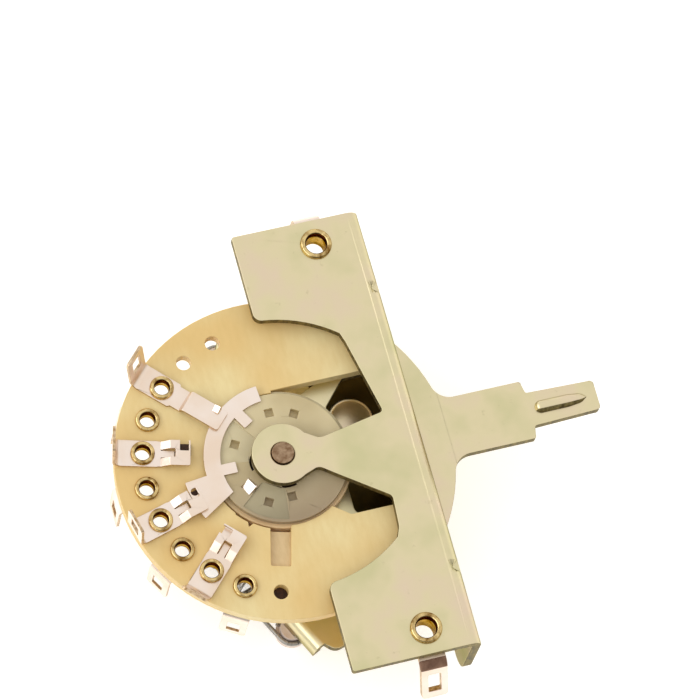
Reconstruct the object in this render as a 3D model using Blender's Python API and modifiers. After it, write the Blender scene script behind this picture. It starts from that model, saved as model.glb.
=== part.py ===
"""Five-position blade switch: a folded steel frame, a contact wafer, a rotor and a lever on one shaft.

The part is built as it is mounted. The origin is the middle of the mounting plate's outer face.
X runs along the plate, Z points out of the panel along the lever, and the contact wafer faces -Y.
Sizes are in millimetres. Angles round the shaft are counted from the direction that points straight
away from the mounting plate, and positive angles lie on the +X side.
"""
import math

import bmesh
import bpy
from mathutils import Matrix, Vector

MM = 0.001

# Clearances
SEAT = 0.03            # between two pieces that touch
RUNNING = 0.06         # round a shaft that turns in a hole

# Lever positions
POSITIONS = 5
POSITION_STEP = 15.0   # degrees from one position to the next, and from one terminal to the next
SWING = (POSITIONS - 1) / 2 * POSITION_STEP
SWING_CLEARANCE = 0.9  # between the lever and the end of its slot

# Frame, one folded sheet
FRAME_LENGTH = 53.3
FRAME_DEPTH = 11.2
SHEET = 1.1
FRAME_BEND = 0.9       # radius at the middle of the sheet
TAB_DROP = 15.2        # lower edge of the front tabs below the mounting face
SCREW_HOLE = 1.75      # radius of the tapped mounting hole
SCREW_SHIFT = 0.15     # outward from halfway between the slot's end and the plate's end
PLATE_CORNER = 2.0
PIVOT_DROP = 16.2
EYE_RADIUS = 3.55
TAB_ARC = 16.1         # radius of the tabs' inner edges about the pivot
WINDOW_INSET = 4.7     # from that radius to the outer top corner of each window
REAR_EYE_RADIUS = 4.2
REAR_ARM_TOP = 17.4    # half width of the rear arm at its fold
RELIEF = 0.7           # width of the slits beside the rear fold
SLOT_WIDTH = 2.4
FRAME_EYELET_INSET = 3.0       # from the plate's end
FRAME_EYELET_X = FRAME_LENGTH / 2 - FRAME_EYELET_INSET
FRAME_EYELET_DROP = 5.85

# Spring lugs of the rear arm
LUG_X = 16.8           # centre of the spring loop
LUG_DROP = 18.25
LUG_SHOULDER = (LUG_X + 4.4, LUG_DROP - 3.65)      # outer corner of the arm above the lug
LUG_WAIST = (LUG_X - 5.3, LUG_DROP - 3.65)         # inner corner beside the lug
LUG_TILT = 26.0        # of the fold line, degrees
LUG_FINGER = 1.7
LUG_BASE_LENGTH = 5.6
LUG_BASE_RISE = 0.75
LUG_FINGER_RISE = 3.1

# Lever
LEVER_SHEET = 1.2
LEVER_Y = -0.5         # middle of the lever sheet
LEVER_HEAD_RADIUS = 20.4
LEVER_HEAD_HALF_ANGLE = 36.0
LEVER_HUB_RADIUS = 5.6
NECK_WIDTH = 7.1
NECK_TOP = 13.7        # above the mounting face
NECK_FILLET = 2.3
TIP_WIDTH = 4.1
TIP_END_WIDTH = 3.6
LEVER_TOP = 22.1
RIB_RADIUS = 0.75
RIB_START = 15.3
RIB_END = 20.9
RIB_FADE = 2.4         # length over which the rib runs out
RIB_SINK = 0.12        # of the rib's middle line below the lever's face

# Contact wafer
WAFER = 1.6
WAFER_RADIUS = 19.05
WAFER_HOLE = WAFER_RADIUS - 11.1
WAFER_SLOT = WAFER_HOLE + 0.25
WAFER_TOP_DROP = 2.0
WAFER_EAR_INSET = 0.95         # from the plate's end
WAFER_EAR_X = FRAME_LENGTH / 2 - WAFER_EAR_INSET
WAFER_EAR_DROP = 14.2
NOTCH_ANGLE = 75.0
NOTCH_WIDTH = 2.3
NOTCH_DEPTH = 4.8
SPARE_HOLE = 0.85
TERMINALS = 8
TERMINAL_EDGE = 3.25           # from the eyelets' circle to the wafer's rim
TERMINAL_RADIUS = WAFER_RADIUS - TERMINAL_EDGE
FIRST_TERMINAL = -3 * POSITION_STEP
SPARE_ANGLES = (FIRST_TERMINAL - 2 * POSITION_STEP, FIRST_TERMINAL - POSITION_STEP, 5 * POSITION_STEP)

# Terminals
STRIP = 0.35
STRIP_WIDTH = 3.1
STRIP_BEND = 0.5       # radius at the middle of the strip
LUG_BEND_RADIUS = WAFER_RADIUS - 0.45
LUG_LENGTH = 5.0
LUG_SLOT_WIDTH = 1.5
LUG_SLOT_LENGTH = 2.6
LUG_SLOT_EDGE = 1.0    # from the slot to the lug's end
JAW_START = TERMINAL_RADIUS - 2.3
JAW_STEP = 0.95        # from the jaw's shoulder to the step that lifts its leaves
JAW_WIDTH = 2.65
JAW_LENGTH = 3.1
JAW_END = JAW_START - JAW_LENGTH
LEAF_WIDTH = 1.0
NOSE_REACH = 1.1       # of the blade's nose into a jaw
NOSE_RADIUS = JAW_END + NOSE_REACH

# Rotor and its blades
ROTOR_RADIUS = WAFER_HOLE - 0.25
ROTOR_BOSS = 3.3
BLADE = 0.25
BLADE_LIFT = 0.45      # blade's inner face above the wafer
NOSE_HEIGHT = 2.6      # of the nose beyond the ring
RING_OUTER = NOSE_RADIUS - NOSE_HEIGHT
RING_INNER = RING_OUTER - 1.9
RING_START = -85.5
NOSE_ANGLE = 14.0
NOSE_HALF_ANGLE = 12.4
NOSE_HOLE = 0.45
NOSE_HOLE_RADIUS = NOSE_RADIUS - 1.0
NOSE_HOLE_ANGLE = NOSE_ANGLE - 4.5
TOOTH_INNER = (RING_INNER + ROTOR_BOSS) / 2 + 0.15
TOOTH_WIDTH = 1.3
TOOTH_ANGLES = (-60.0, 0.0)
FINGER_WIDTH = 2.5
FINGER_END = RING_OUTER - 1.1
POCKET = (ROTOR_RADIUS - ROTOR_BOSS) / 4
POCKET_RADIUS = (ROTOR_BOSS + ROTOR_RADIUS) / 2
POCKET_DEPTH = 0.5
POCKET_ANGLES = (-120.0, -90.0, -30.0, 60.0, 90.0)
WINDOW_ANGLE = 32.0

# Shaft and what is on it
SHAFT_RADIUS = 1.4
JOURNAL_RADIUS = 1.15
JOURNAL_HEAD = 1.36
JOURNAL_HEAD_HEIGHT = 0.3
SPACER_RADIUS = 2.4
END_WASHER_RADIUS = 2.7
END_WASHER = 0.5
SHAFT_END_HEAD = 1.9
SHAFT_END_HEIGHT = 0.5

# Detent
SPRING_GAP = 0.2       # between the rear arm and the coils
COIL_RADIUS = 2.0      # outside
WIRE = 0.56            # diameter
COIL_TURNS = 20
COIL_POINTS = 8        # of the wire's line in one turn
CAM = 1.6
CAM_RADIUS = 6.0
CAM_HUB = 2.5
NOTCH_SINK = 0.35      # how far the roller drops from the cam's rim into a notch
NOTCH_STEPS = 4
ROLLER_RADIUS = 0.9
ROLLER_FLANGE = 1.5
ROLLER_FLANGE_WIDTH = 0.45
BUSH_FLANGE = 1.85
BUSH_LENGTH = 1.7

# Eyelets and ground lugs
EYELET_BORE = 0.87
EYELET_TUBE = 1.12
EYELET_RIM = 1.38
EYELET_RIM_HEIGHT = 0.45
FRAME_EYELET_BORE = 1.2
FRAME_EYELET_TUBE = 1.5
FRAME_EYELET_RIM = 1.82
GROUND_LUG = 0.8
GROUND_LUG_WIDTH = 3.1
GROUND_LUG_EYE = 2.45          # outer radius round the eyelet
GROUND_LUG_FOLD = 0.9          # radius at the middle of the sheet
GROUND_LUG_STRAIGHT = 3.3      # from the eyelet to the fold
GROUND_LUG_TAIL = 4.4          # beyond the fold
GROUND_LUG_ANGLES = {"upper": 68.0, "lower": 60.0}

# Smoothness
TINY = 0.0001          # shorter than any real size
ARC_STEP = 15.0        # degrees
BEND_STEPS = 3
ROUND_STEPS = 20
EYELET_STEPS = 16
ROTOR_STEPS = 32

# Levels along Y, worked out from the stack of pieces
FRONT_FACE = -FRAME_DEPTH / 2
FLANGE_BACK = FRONT_FACE + SHEET
WAFER_FRONT = FLANGE_BACK + GROUND_LUG
WAFER_BACK = WAFER_FRONT + WAFER
REAR_FACE = FRAME_DEPTH / 2
ARM_FRONT = REAR_FACE - SHEET
LEVER_FRONT = LEVER_Y - LEVER_SHEET / 2
LEVER_BACK = LEVER_Y + LEVER_SHEET / 2
SPRING_Y = REAR_FACE + SPRING_GAP + COIL_RADIUS
AXIS = (0, -PIVOT_DROP)
ROLLER_CENTRE = CAM_RADIUS + ROLLER_RADIUS + SEAT
NOTCH_CENTRE = ROLLER_CENTRE - NOTCH_SINK
SLOT_HALF = (PIVOT_DROP * math.tan(math.radians(SWING))
             + NECK_WIDTH / 2 / math.cos(math.radians(SWING)) + SWING_CLEARANCE)
SCREW_X = (SLOT_HALF + FRAME_LENGTH / 2) / 2 + SCREW_SHIFT

COLOURS = {
    "zinc": ((0.72, 0.63, 0.40), 0.38, 1.0),
    "phenolic": ((0.69, 0.50, 0.24), 0.55, 0.0),
    "silver": ((0.83, 0.72, 0.66), 0.32, 1.0),
    "brass": ((0.66, 0.45, 0.16), 0.30, 1.0),
    "nylon": ((0.52, 0.49, 0.38), 0.45, 0.0),
    "steel": ((0.42, 0.40, 0.38), 0.35, 1.0),
    "rivet": ((0.42, 0.29, 0.20), 0.45, 1.0),
}


def clear_scene():
    for item in list(bpy.data.objects):
        bpy.data.objects.remove(item)


def new_collection(name):
    collection = bpy.data.collections.new(name)
    bpy.context.scene.collection.children.link(collection)
    return collection


def material(name):
    found = bpy.data.materials.get(name)
    if found:
        return found
    colour, roughness, metallic = COLOURS[name]
    made = bpy.data.materials.new(name)
    made.use_nodes = True
    shader = made.node_tree.nodes["Principled BSDF"]
    shader.inputs["Base Color"].default_value = (*colour, 1)
    shader.inputs["Roughness"].default_value = roughness
    shader.inputs["Metallic"].default_value = metallic
    return made


def finish(item, finish_name, collection):
    collection.objects.link(item)
    item.data.materials.clear()
    item.data.materials.append(material(finish_name))
    return item


# Outlines

def arc(centre, radius, start, end):
    """Points on a circle from one angle to another, counted in degrees from +X to +Y."""
    steps = max(2, math.ceil(abs(end - start) / ARC_STEP))
    points = []
    for i in range(steps + 1):
        angle = math.radians(start + (end - start) * i / steps)
        points.append((centre[0] + radius * math.cos(angle), centre[1] + radius * math.sin(angle)))
    return points


def circle(centre, radius, steps=ROUND_STEPS):
    points = []
    for i in range(steps):
        angle = 2 * math.pi * i / steps
        points.append((centre[0] + radius * math.cos(angle), centre[1] + radius * math.sin(angle)))
    return points


def rounded(corners):
    """A closed outline from (x, y, fillet radius) corners. A radius of 0 keeps the corner sharp."""
    points = []
    for i, (x, y, radius) in enumerate(corners):
        here = Vector((x, y))
        before = Vector(corners[i - 1][:2]) - here
        after = Vector(corners[(i + 1) % len(corners)][:2]) - here
        if radius == 0:
            points.append((x, y))
            continue
        half = before.angle(after) / 2
        reach = min(radius / math.tan(half), 0.49 * before.length, 0.49 * after.length)
        radius = reach * math.tan(half)
        middle = here + (before.normalized() + after.normalized()).normalized() * radius / math.sin(half)
        first = here + before.normalized() * reach - middle
        last = here + after.normalized() * reach - middle
        turn = first.angle_signed(last)
        steps = max(1, math.ceil(math.degrees(abs(turn)) / ARC_STEP))
        for step in range(steps + 1):
            spoke = first.copy()
            spoke.rotate(Matrix.Rotation(-turn * step / steps, 2))
            points.append(tuple(middle + spoke))
    return points


def sharp(points):
    """The same points as corners without a fillet."""
    return [(x, y, 0) for x, y in points]


def polar(radius, degrees, across=0.0):
    """A point in front view (X, Z) at an angle from straight down, moved sideways by `across`."""
    angle = math.radians(degrees)
    out = Vector((math.sin(angle), -math.cos(angle)))
    side = Vector((math.cos(angle), math.sin(angle)))
    return tuple(Vector((0, -PIVOT_DROP)) + out * radius + side * across)


def flat_curve(name, outline, holes, half_thickness):
    curve = bpy.data.curves.new(name, "CURVE")
    curve.dimensions = "2D"
    curve.fill_mode = "BOTH"
    curve.extrude = half_thickness * MM
    for points in [outline] + list(holes):
        spline = curve.splines.new("POLY")
        spline.points.add(len(points) - 1)
        for point, (x, y) in zip(spline.points, points):
            point.co = (x * MM, y * MM, 0, 1)
        spline.use_cyclic_u = True
    return bpy.data.objects.new(name, curve)


def mesh_from(curve_object):
    """The curve as a welded mesh. The curve itself is removed."""
    bpy.context.scene.collection.objects.link(curve_object)
    bpy.context.view_layer.update()
    shape = bpy.data.meshes.new_from_object(curve_object.evaluated_get(bpy.context.evaluated_depsgraph_get()))
    name = curve_object.name
    bpy.data.objects.remove(curve_object)
    made = bmesh.new()
    made.from_mesh(shape)
    bmesh.ops.remove_doubles(made, verts=made.verts, dist=0.002 * MM)
    made.to_mesh(shape)
    made.free()
    shape.name = name
    return shape


def plate(name, outline, holes, front, thickness, finish_name, collection, origin=(0, 0)):
    """A flat stamped piece that stands in front view, its nearer face at Y = front. Its origin is the
    given front-view point, so that a piece that turns has it on its axis."""
    shape = mesh_from(flat_curve(name, outline, holes, thickness / 2))
    shape.transform(Matrix.Rotation(math.radians(90), 4, "X"))
    shape.transform(Matrix.Translation((-origin[0] * MM, 0, -origin[1] * MM)))
    made = bpy.data.objects.new(name, shape)
    made.location = (origin[0] * MM, (front + thickness / 2) * MM, origin[1] * MM)
    return finish(made, finish_name, collection)


def turned(name, profile, finish_name, collection, centre=(0, 0), steps=ROUND_STEPS, closed=False):
    """A piece turned about a line along Y. The profile's (radius, y) points run from the rear to the
    front down the outer side, and back up the bore where the piece is hollow."""
    shape = bpy.data.meshes.new(name)
    vertices = [(radius * MM, 0, y * MM) for radius, y in profile]
    edges = [(i, i + 1) for i in range(len(profile) - 1)]
    if closed:
        edges.append((len(profile) - 1, 0))
    shape.from_pydata(vertices, edges, [])
    made = bpy.data.objects.new(name, shape)
    spin = made.modifiers.new("turn", "SCREW")
    spin.steps = steps
    spin.render_steps = steps
    spin.use_merge_vertices = True
    spin.merge_threshold = 0.001 * MM
    made.rotation_euler = (math.radians(-90), 0, 0)
    made.location = (centre[0] * MM, 0, centre[1] * MM)
    return finish(made, finish_name, collection)


# Folded sheet

def bend(sheet, start, travel, up, angle, radius, inside):
    """Folds what lies beyond a line. `start` is a point on the line, `travel` points across it within
    the sheet, and the sheet turns towards `up`. Only points for which `inside` holds are moved."""
    arc_length = radius * math.radians(angle)

    def beyond_the_line(corner):
        return (corner.co - start).dot(travel) > TINY * MM and inside(corner.co)

    for i in range(BEND_STEPS + 1):
        cut_at = start + travel * (arc_length * i / BEND_STEPS)
        faces = [face for face in sheet.faces if any(beyond_the_line(corner) for corner in face.verts)]
        edges = list({edge for face in faces for edge in face.edges})
        corners = list({corner for face in faces for corner in face.verts})
        bmesh.ops.bisect_plane(sheet, geom=faces + edges + corners, dist=TINY * MM, plane_co=cut_at, plane_no=travel)
    for corner in sheet.verts:
        if not beyond_the_line(corner):
            continue
        distance = (corner.co - start).dot(travel)
        lift = (corner.co - start).dot(up)
        turned_by = min(distance, arc_length) / radius
        beyond = max(distance - arc_length, 0)
        along = (radius - lift) * math.sin(turned_by) + beyond * math.cos(turned_by)
        height = radius - (radius - lift) * math.cos(turned_by) + beyond * math.sin(turned_by)
        corner.co += travel * (along - distance) + up * (height - lift)


def solid_sheet(name, sheet, thickness, finish_name, collection):
    shape = bpy.data.meshes.new(name)
    bmesh.ops.remove_doubles(sheet, verts=sheet.verts, dist=0.01 * MM)
    bmesh.ops.dissolve_limit(sheet, angle_limit=math.radians(0.5), verts=sheet.verts, edges=sheet.edges)
    bmesh.ops.triangulate(sheet, faces=sheet.faces)
    bmesh.ops.recalc_face_normals(sheet, faces=sheet.faces)
    sheet.to_mesh(shape)
    sheet.free()
    made = bpy.data.objects.new(name, shape)
    thicken = made.modifiers.new("sheet", "SOLIDIFY")
    thicken.thickness = thickness * MM
    thicken.offset = 0
    thicken.use_even_offset = True
    return finish(made, finish_name, collection)


def open_sheet(name, outline, holes):
    made = bmesh.new()
    made.from_mesh(mesh_from(flat_curve(name, outline, holes, 0)))
    return made


# Frame

def spread(drop):
    """How far from the plate's middle a point of a folded-down flange lies while the sheet is flat."""
    straight = FRAME_DEPTH / 2 - SHEET / 2 - FRAME_BEND
    return straight + FRAME_BEND * math.pi / 2 + drop - SHEET / 2 - FRAME_BEND


def front_flange_outline():
    """Two tabs with round inner edges, and the arm with its eye between them, from -X to +X."""
    half = FRAME_LENGTH / 2
    pivot = (0, -PIVOT_DROP)
    window = TAB_ARC - WINDOW_INSET
    left = [(-half, -TAB_DROP, 0.3), (-TAB_ARC, -TAB_DROP, 3.0)]
    left += sharp(arc(pivot, TAB_ARC, 170, 141))
    left += [(-window, -5.7, 1.6), (-2.3, -3.7, 0.4), (-0.85, -11.6, 1.2)]
    eye = sharp(arc(pivot, EYE_RADIUS, 123, 392))
    right = [(2.4, -12.6, 0.9), (3.9, -10.6, 1.2), (7.7, -5.35, 0.7), (window, -5.6, 1.6)]
    right += sharp(arc(pivot, TAB_ARC, 39, 10))
    right += [(TAB_ARC, -TAB_DROP, 3.0), (half, -TAB_DROP, 0.3)]
    return left + eye + right


def lug_frame():
    """Centre of the spring loop and the directions along and across the lug's fold, in the (X, drop)
    view of the rear arm."""
    tilt = math.radians(LUG_TILT)
    centre = Vector((LUG_X, LUG_DROP))
    along = Vector((math.cos(tilt), -math.sin(tilt)))
    across = Vector((math.sin(tilt), math.cos(tilt)))
    return centre, along, across


def rear_arm_outline():
    """Half of the rear arm from its fold to the middle of the eye, as (X, drop, fillet) corners."""
    centre, along, across = lug_frame()
    fold = centre - across * FRAME_BEND
    flat = FRAME_BEND * math.pi / 2
    half_finger = LUG_FINGER / 2

    def lug(sideways, rise):
        point = fold + along * sideways + across * rise
        return point.x, point.y

    base_end = LUG_BASE_LENGTH - half_finger - 0.6
    corners = [(REAR_ARM_TOP, SHEET / 2 + FRAME_BEND, 0), (*LUG_SHOULDER, 1.5)]
    corners += [(*lug(base_end, 0), 0), (*lug(base_end, flat + LUG_BASE_RISE), 0.5)]
    corners += [(*lug(half_finger, flat + LUG_BASE_RISE), 0.2)]
    corners += [(*lug(half_finger, flat + LUG_BASE_RISE + LUG_FINGER_RISE), 0.3)]
    corners += [(*lug(-half_finger, flat + LUG_BASE_RISE + LUG_FINGER_RISE), 0.3)]
    corners += [(*lug(-half_finger, -0.4), 0.3), (*LUG_WAIST, 3.0)]
    corners += [(REAR_EYE_RADIUS + 0.4, PIVOT_DROP - 2, 1.5)]
    return corners


def frame_blank():
    """The flat sheet before folding, seen from above. The front flange lies on the -Y side."""
    half = FRAME_LENGTH / 2
    rear = FRAME_DEPTH / 2
    outline = [(x, -spread(-z), radius) for x, z, radius in front_flange_outline()]
    relief_root = FRAME_DEPTH / 2 - SHEET / 2 - FRAME_BEND - 0.2
    arm = rear_arm_outline()
    arm_right = [(x, spread(drop), radius) for x, drop, radius in arm]
    eye = sharp(arc((0, spread(PIVOT_DROP)), REAR_EYE_RADIUS, -12, 90))
    mirrored = [(-x, y, radius) for x, y, radius in reversed(arm_right + eye[:-1])]
    right = [(half, rear, PLATE_CORNER), (REAR_ARM_TOP + RELIEF, rear, 0), (REAR_ARM_TOP + RELIEF, relief_root, 0)]
    right += [(REAR_ARM_TOP, relief_root, 0)]
    left = [(-x, y, radius) for x, y, radius in reversed(right)]
    return rounded(outline + right + arm_right + eye + mirrored + left)


def frame_holes():
    slot = arc((SLOT_HALF - SLOT_WIDTH / 2, LEVER_Y), SLOT_WIDTH / 2, -90, 90)
    slot += arc((-SLOT_HALF + SLOT_WIDTH / 2, LEVER_Y), SLOT_WIDTH / 2, 90, 270)
    holes = [slot]
    for side in (-1, 1):
        holes.append(circle((side * SCREW_X, 0), SCREW_HOLE))
        holes.append(circle((side * FRAME_EYELET_X, -spread(FRAME_EYELET_DROP)), FRAME_EYELET_TUBE + SEAT))
    holes.append(circle((0, -spread(PIVOT_DROP)), JOURNAL_RADIUS + RUNNING))
    holes.append(circle((0, spread(PIVOT_DROP)), SHAFT_RADIUS + RUNNING))
    return holes


def build_frame(parts):
    sheet = open_sheet("frame", frame_blank(), frame_holes())
    straight = (FRAME_DEPTH / 2 - SHEET / 2 - FRAME_BEND) * MM
    middle = -SHEET / 2 * MM
    down = Vector((0, 0, -1))
    for corner in sheet.verts:
        corner.co.z = middle
    centre, along, across = lug_frame()
    for side in (-1, 1):
        start = centre - across * FRAME_BEND
        start = Vector((side * start.x, spread(start.y), 0)) * MM
        start.z = middle
        travel = Vector((side * across.x, across.y, 0))
        bend(sheet, start, travel, Vector((0, 0, 1)), 90, FRAME_BEND * MM,
             lambda point, side=side: side * point.x > 10 * MM and point.y > REAR_FACE * MM)
    bend(sheet, Vector((0, straight, middle)), Vector((0, 1, 0)), down, 90, FRAME_BEND * MM,
         lambda point: abs(point.x) < (REAR_ARM_TOP + RELIEF / 2) * MM or point.y > (REAR_FACE + RELIEF) * MM)
    bend(sheet, Vector((0, -straight, middle)), Vector((0, -1, 0)), down, 90, FRAME_BEND * MM,
         lambda point: point.y < 0 and point.z > -2 * MM)
    return solid_sheet("frame", sheet, SHEET, "zinc", parts)


# Lever

def lever_outline():
    pivot = (0, -PIVOT_DROP)
    half_neck = NECK_WIDTH / 2
    fillet_reach = LEVER_HEAD_RADIUS + NECK_FILLET
    fillet_angle = math.degrees(math.asin((half_neck + NECK_FILLET) / fillet_reach))
    fillet_centre = (half_neck + NECK_FILLET, pivot[1] + fillet_reach * math.cos(math.radians(fillet_angle)))
    head_end = 90 - LEVER_HEAD_HALF_ANGLE
    right = sharp(arc(pivot, LEVER_HUB_RADIUS, 270, 350))
    right += [(8.6, -9.6, 5.0)]
    right += sharp(arc(pivot, LEVER_HEAD_RADIUS, head_end, 90 - fillet_angle))
    right += sharp(arc(fillet_centre, NECK_FILLET, 270 - fillet_angle, 180)[1:])
    right += [(half_neck, NECK_TOP, 0.6), (TIP_WIDTH / 2, NECK_TOP + 0.3, 0.4)]
    right += [(TIP_END_WIDTH / 2, LEVER_TOP, 0.5)]
    left = [(-x, y, radius) for x, y, radius in reversed(right[1:])]
    return rounded(right + left)


def build_lever(parts, cutters):
    holes = [circle(AXIS, SHAFT_RADIUS + SEAT)]
    lever = plate("lever", lever_outline(), holes, LEVER_FRONT, LEVER_SHEET, "zinc", parts, AXIS)
    profile = [(0, RIB_END), (RIB_RADIUS * 0.75, RIB_END - RIB_FADE / 3), (RIB_RADIUS, RIB_END - RIB_FADE)]
    profile += [(RIB_RADIUS * math.cos(math.radians(a)), RIB_START - RIB_RADIUS * math.sin(math.radians(a)))
                for a in range(0, 91, 30)]
    rib = bpy.data.meshes.new("rib")
    edges = [(i, i + 1) for i in range(len(profile) - 1)]
    rib.from_pydata([(x * MM, 0, z * MM) for x, z in profile], edges, [])
    shape = bpy.data.objects.new("rib_shape", rib)
    cutters.objects.link(shape)
    spin = shape.modifiers.new("turn", "SCREW")
    spin.steps = 12
    spin.render_steps = 12
    spin.use_merge_vertices = True
    spin.merge_threshold = 0.001 * MM
    shape.location = (0, (LEVER_FRONT + RIB_SINK) * MM, 0)
    hide_cutter(shape)
    join = lever.modifiers.new("rib", "BOOLEAN")
    join.operation = "UNION"
    join.object = shape
    return lever


def hide_cutter(item):
    item.hide_render = True
    item.display_type = "WIRE"


# Wafer

def wafer_outline():
    ear = math.degrees(math.acos((PIVOT_DROP - WAFER_EAR_DROP) / WAFER_RADIUS))
    rim = [(*polar(WAFER_RADIUS, angle), 0) for angle in steps_between(90 + (90 - ear), -(90 + (90 - ear)), 6)]
    top = -WAFER_TOP_DROP
    ears_right = [(WAFER_SLOT, top, 0), (WAFER_EAR_X, top, 0), (WAFER_EAR_X, -WAFER_EAR_DROP, 2.0)]
    ears_left = [(-WAFER_EAR_X, -WAFER_EAR_DROP, 2.0), (-WAFER_EAR_X, top, 0), (-WAFER_SLOT, top, 0)]
    hole_start = -math.degrees(math.acos(-0.12))
    hole = [(-WAFER_SLOT, polar(WAFER_HOLE, hole_start)[1], 0)]
    notch_half = math.degrees(math.asin(NOTCH_WIDTH / 2 / WAFER_HOLE))
    hole += sharp([polar(WAFER_HOLE, a) for a in steps_between(hole_start, NOTCH_ANGLE - notch_half, 8)])
    hole += [(*polar(WAFER_HOLE + NOTCH_DEPTH, NOTCH_ANGLE, -NOTCH_WIDTH / 2), 0.2)]
    hole += [(*polar(WAFER_HOLE + NOTCH_DEPTH, NOTCH_ANGLE, NOTCH_WIDTH / 2), 0.2)]
    hole += sharp([polar(WAFER_HOLE, a) for a in steps_between(NOTCH_ANGLE + notch_half, 122, 8)])
    lip = hole[-1]
    hole += [(WAFER_SLOT, lip[1] + 1.9, 0)]
    return rounded(ears_right + rim + ears_left + hole)


def steps_between(start, end, step):
    count = max(1, math.ceil(abs(end - start) / step))
    return [start + (end - start) * i / count for i in range(count + 1)]


def terminal_angles():
    return [FIRST_TERMINAL + POSITION_STEP * i for i in range(TERMINALS)]


def build_wafer(parts):
    holes = [circle(polar(TERMINAL_RADIUS, a), EYELET_TUBE + SEAT, EYELET_STEPS) for a in terminal_angles()]
    holes += [circle(polar(TERMINAL_RADIUS, a), SPARE_HOLE, 12) for a in SPARE_ANGLES]
    for side in (-1, 1):
        holes.append(circle((side * FRAME_EYELET_X, -FRAME_EYELET_DROP), FRAME_EYELET_TUBE + SEAT))
    return plate("stator_wafer", wafer_outline(), holes, WAFER_FRONT + SEAT, WAFER - 2 * SEAT, "phenolic", parts)


# Terminals

def terminal_sheet(name, outline, holes, angle, front_side, bends, parts):
    """A contact strip drawn with X across and Y outward along the radius, bent, turned over for the
    rear side, and placed at its angle round the shaft. Of two folds in a row, the far one comes first."""
    sheet = open_sheet(name, outline, holes)
    for start, travel, turn in bends:
        up = Vector((0, 0, 1 if turn > 0 else -1))
        bend(sheet, Vector((0, start * MM, 0)), Vector((0, travel, 0)), up, abs(turn), STRIP_BEND * MM,
             lambda point: True)
    face = WAFER_FRONT - STRIP / 2 if front_side else WAFER_BACK + STRIP / 2
    made = solid_sheet(name, sheet, STRIP, "silver", parts)
    flip = Matrix.Identity(4) if front_side else Matrix.Scale(-1, 4, (0, 0, 1))
    turn = Matrix.Rotation(math.radians(-90 + angle), 4, "Z") @ Matrix.Rotation(math.radians(-90), 4, "Z")
    stand = Matrix.Rotation(math.radians(90), 4, "X")
    made.data.transform(stand @ turn @ flip)
    if not front_side:
        made.data.flip_normals()
    made.location = (0, face * MM, -PIVOT_DROP * MM)
    return made


def slot_near(end, middle=0.0):
    """A wire slot across a lug's end: `end` is where the lug ends, and the slot stays inside it."""
    top = end - LUG_SLOT_EDGE
    bottom = top - LUG_SLOT_LENGTH
    half = LUG_SLOT_WIDTH / 2
    return [(middle + half, top), (middle - half, top), (middle - half, bottom), (middle + half, bottom)]


def common_finger(end):
    """The inner end of a common terminal: one long finger that wipes the blade's ring."""
    half = STRIP_WIDTH / 2
    finger = FINGER_WIDTH / 2
    left = [(-half, JAW_START, 0.3), (-finger, JAW_START - 0.6, 0.3), (-finger, end, 0.4)]
    return left + [(-x, y, radius) for x, y, radius in reversed(left)]


def throw_jaw(end):
    """The inner end of a throw terminal: two leaves side by side."""
    half = STRIP_WIDTH / 2
    jaw = JAW_WIDTH / 2
    gap = jaw - LEAF_WIDTH
    root = JAW_START - JAW_STEP
    left = [(-half, JAW_START, 0.2), (-jaw, JAW_START - 0.4, 0), (-jaw, end, 0.2), (-gap, end, 0.1), (-gap, root, 0)]
    return left + [(-x, y, radius) for x, y, radius in reversed(left)]


def build_terminal(name, angle, front_side, common, parts):
    lift = BLADE_LIFT + BLADE + 2 * SEAT
    ramp = math.acos(1 - lift / (2 * STRIP_BEND))
    ramp_length = STRIP_BEND * ramp
    take_up = 2 * (ramp_length - STRIP_BEND * math.sin(ramp))
    inner = common_finger(FINGER_END - take_up) if common else throw_jaw(JAW_END - take_up)
    lug_end = LUG_BEND_RADIUS + STRIP_BEND * math.pi / 2 + LUG_LENGTH
    half = STRIP_WIDTH / 2
    outline = rounded(inner + [(half, lug_end, 0.5), (-half, lug_end, 0.5)])
    holes = [circle((0, TERMINAL_RADIUS), EYELET_TUBE + SEAT, EYELET_STEPS), slot_near(lug_end)]
    root = JAW_START - JAW_STEP
    degrees = math.degrees(ramp)
    bends = [(root - ramp_length, -1, -degrees), (root, -1, degrees), (LUG_BEND_RADIUS, 1, 90)]
    return terminal_sheet(name, outline, holes, angle, front_side, bends, parts)


def build_terminals(parts):
    front_number = 0
    rear_number = 0
    for i, angle in enumerate(terminal_angles()):
        front_side = i % 2 == 0
        if i == 0:
            name = "front_common_terminal"
        elif i == TERMINALS - 1:
            name = "rear_common_terminal"
        elif front_side:
            front_number += 1
            name = f"front_throw_terminal_{front_number}"
        else:
            rear_number += 1
            name = f"rear_throw_terminal_{rear_number}"
        build_terminal(name, angle, front_side, "common" in name, parts)
        if front_side:
            near, far = WAFER_FRONT - STRIP - SEAT, WAFER_BACK
        else:
            near, far = WAFER_FRONT, WAFER_BACK + STRIP + SEAT
        build_eyelet(f"terminal_eyelet_{i + 1}", polar(TERMINAL_RADIUS, angle), near, far,
                     EYELET_BORE, EYELET_TUBE, EYELET_RIM, EYELET_STEPS, parts)


def build_eyelet(name, centre, near, far, bore, tube, rim, steps, parts):
    """A rolled eyelet through everything between the faces at Y = near and Y = far."""
    middle = (bore + rim) / 2
    roll = EYELET_RIM_HEIGHT
    near -= SEAT
    far += SEAT
    profile = [(bore, far + roll * 0.4), (middle, far + roll), (rim, far + roll * 0.3), (tube, far)]
    profile += [(tube, near), (rim, near - roll * 0.3), (middle, near - roll), (bore, near - roll * 0.4)]
    return turned(name, profile, "brass", parts, centre, steps, closed=True)


# Rotor

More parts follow.
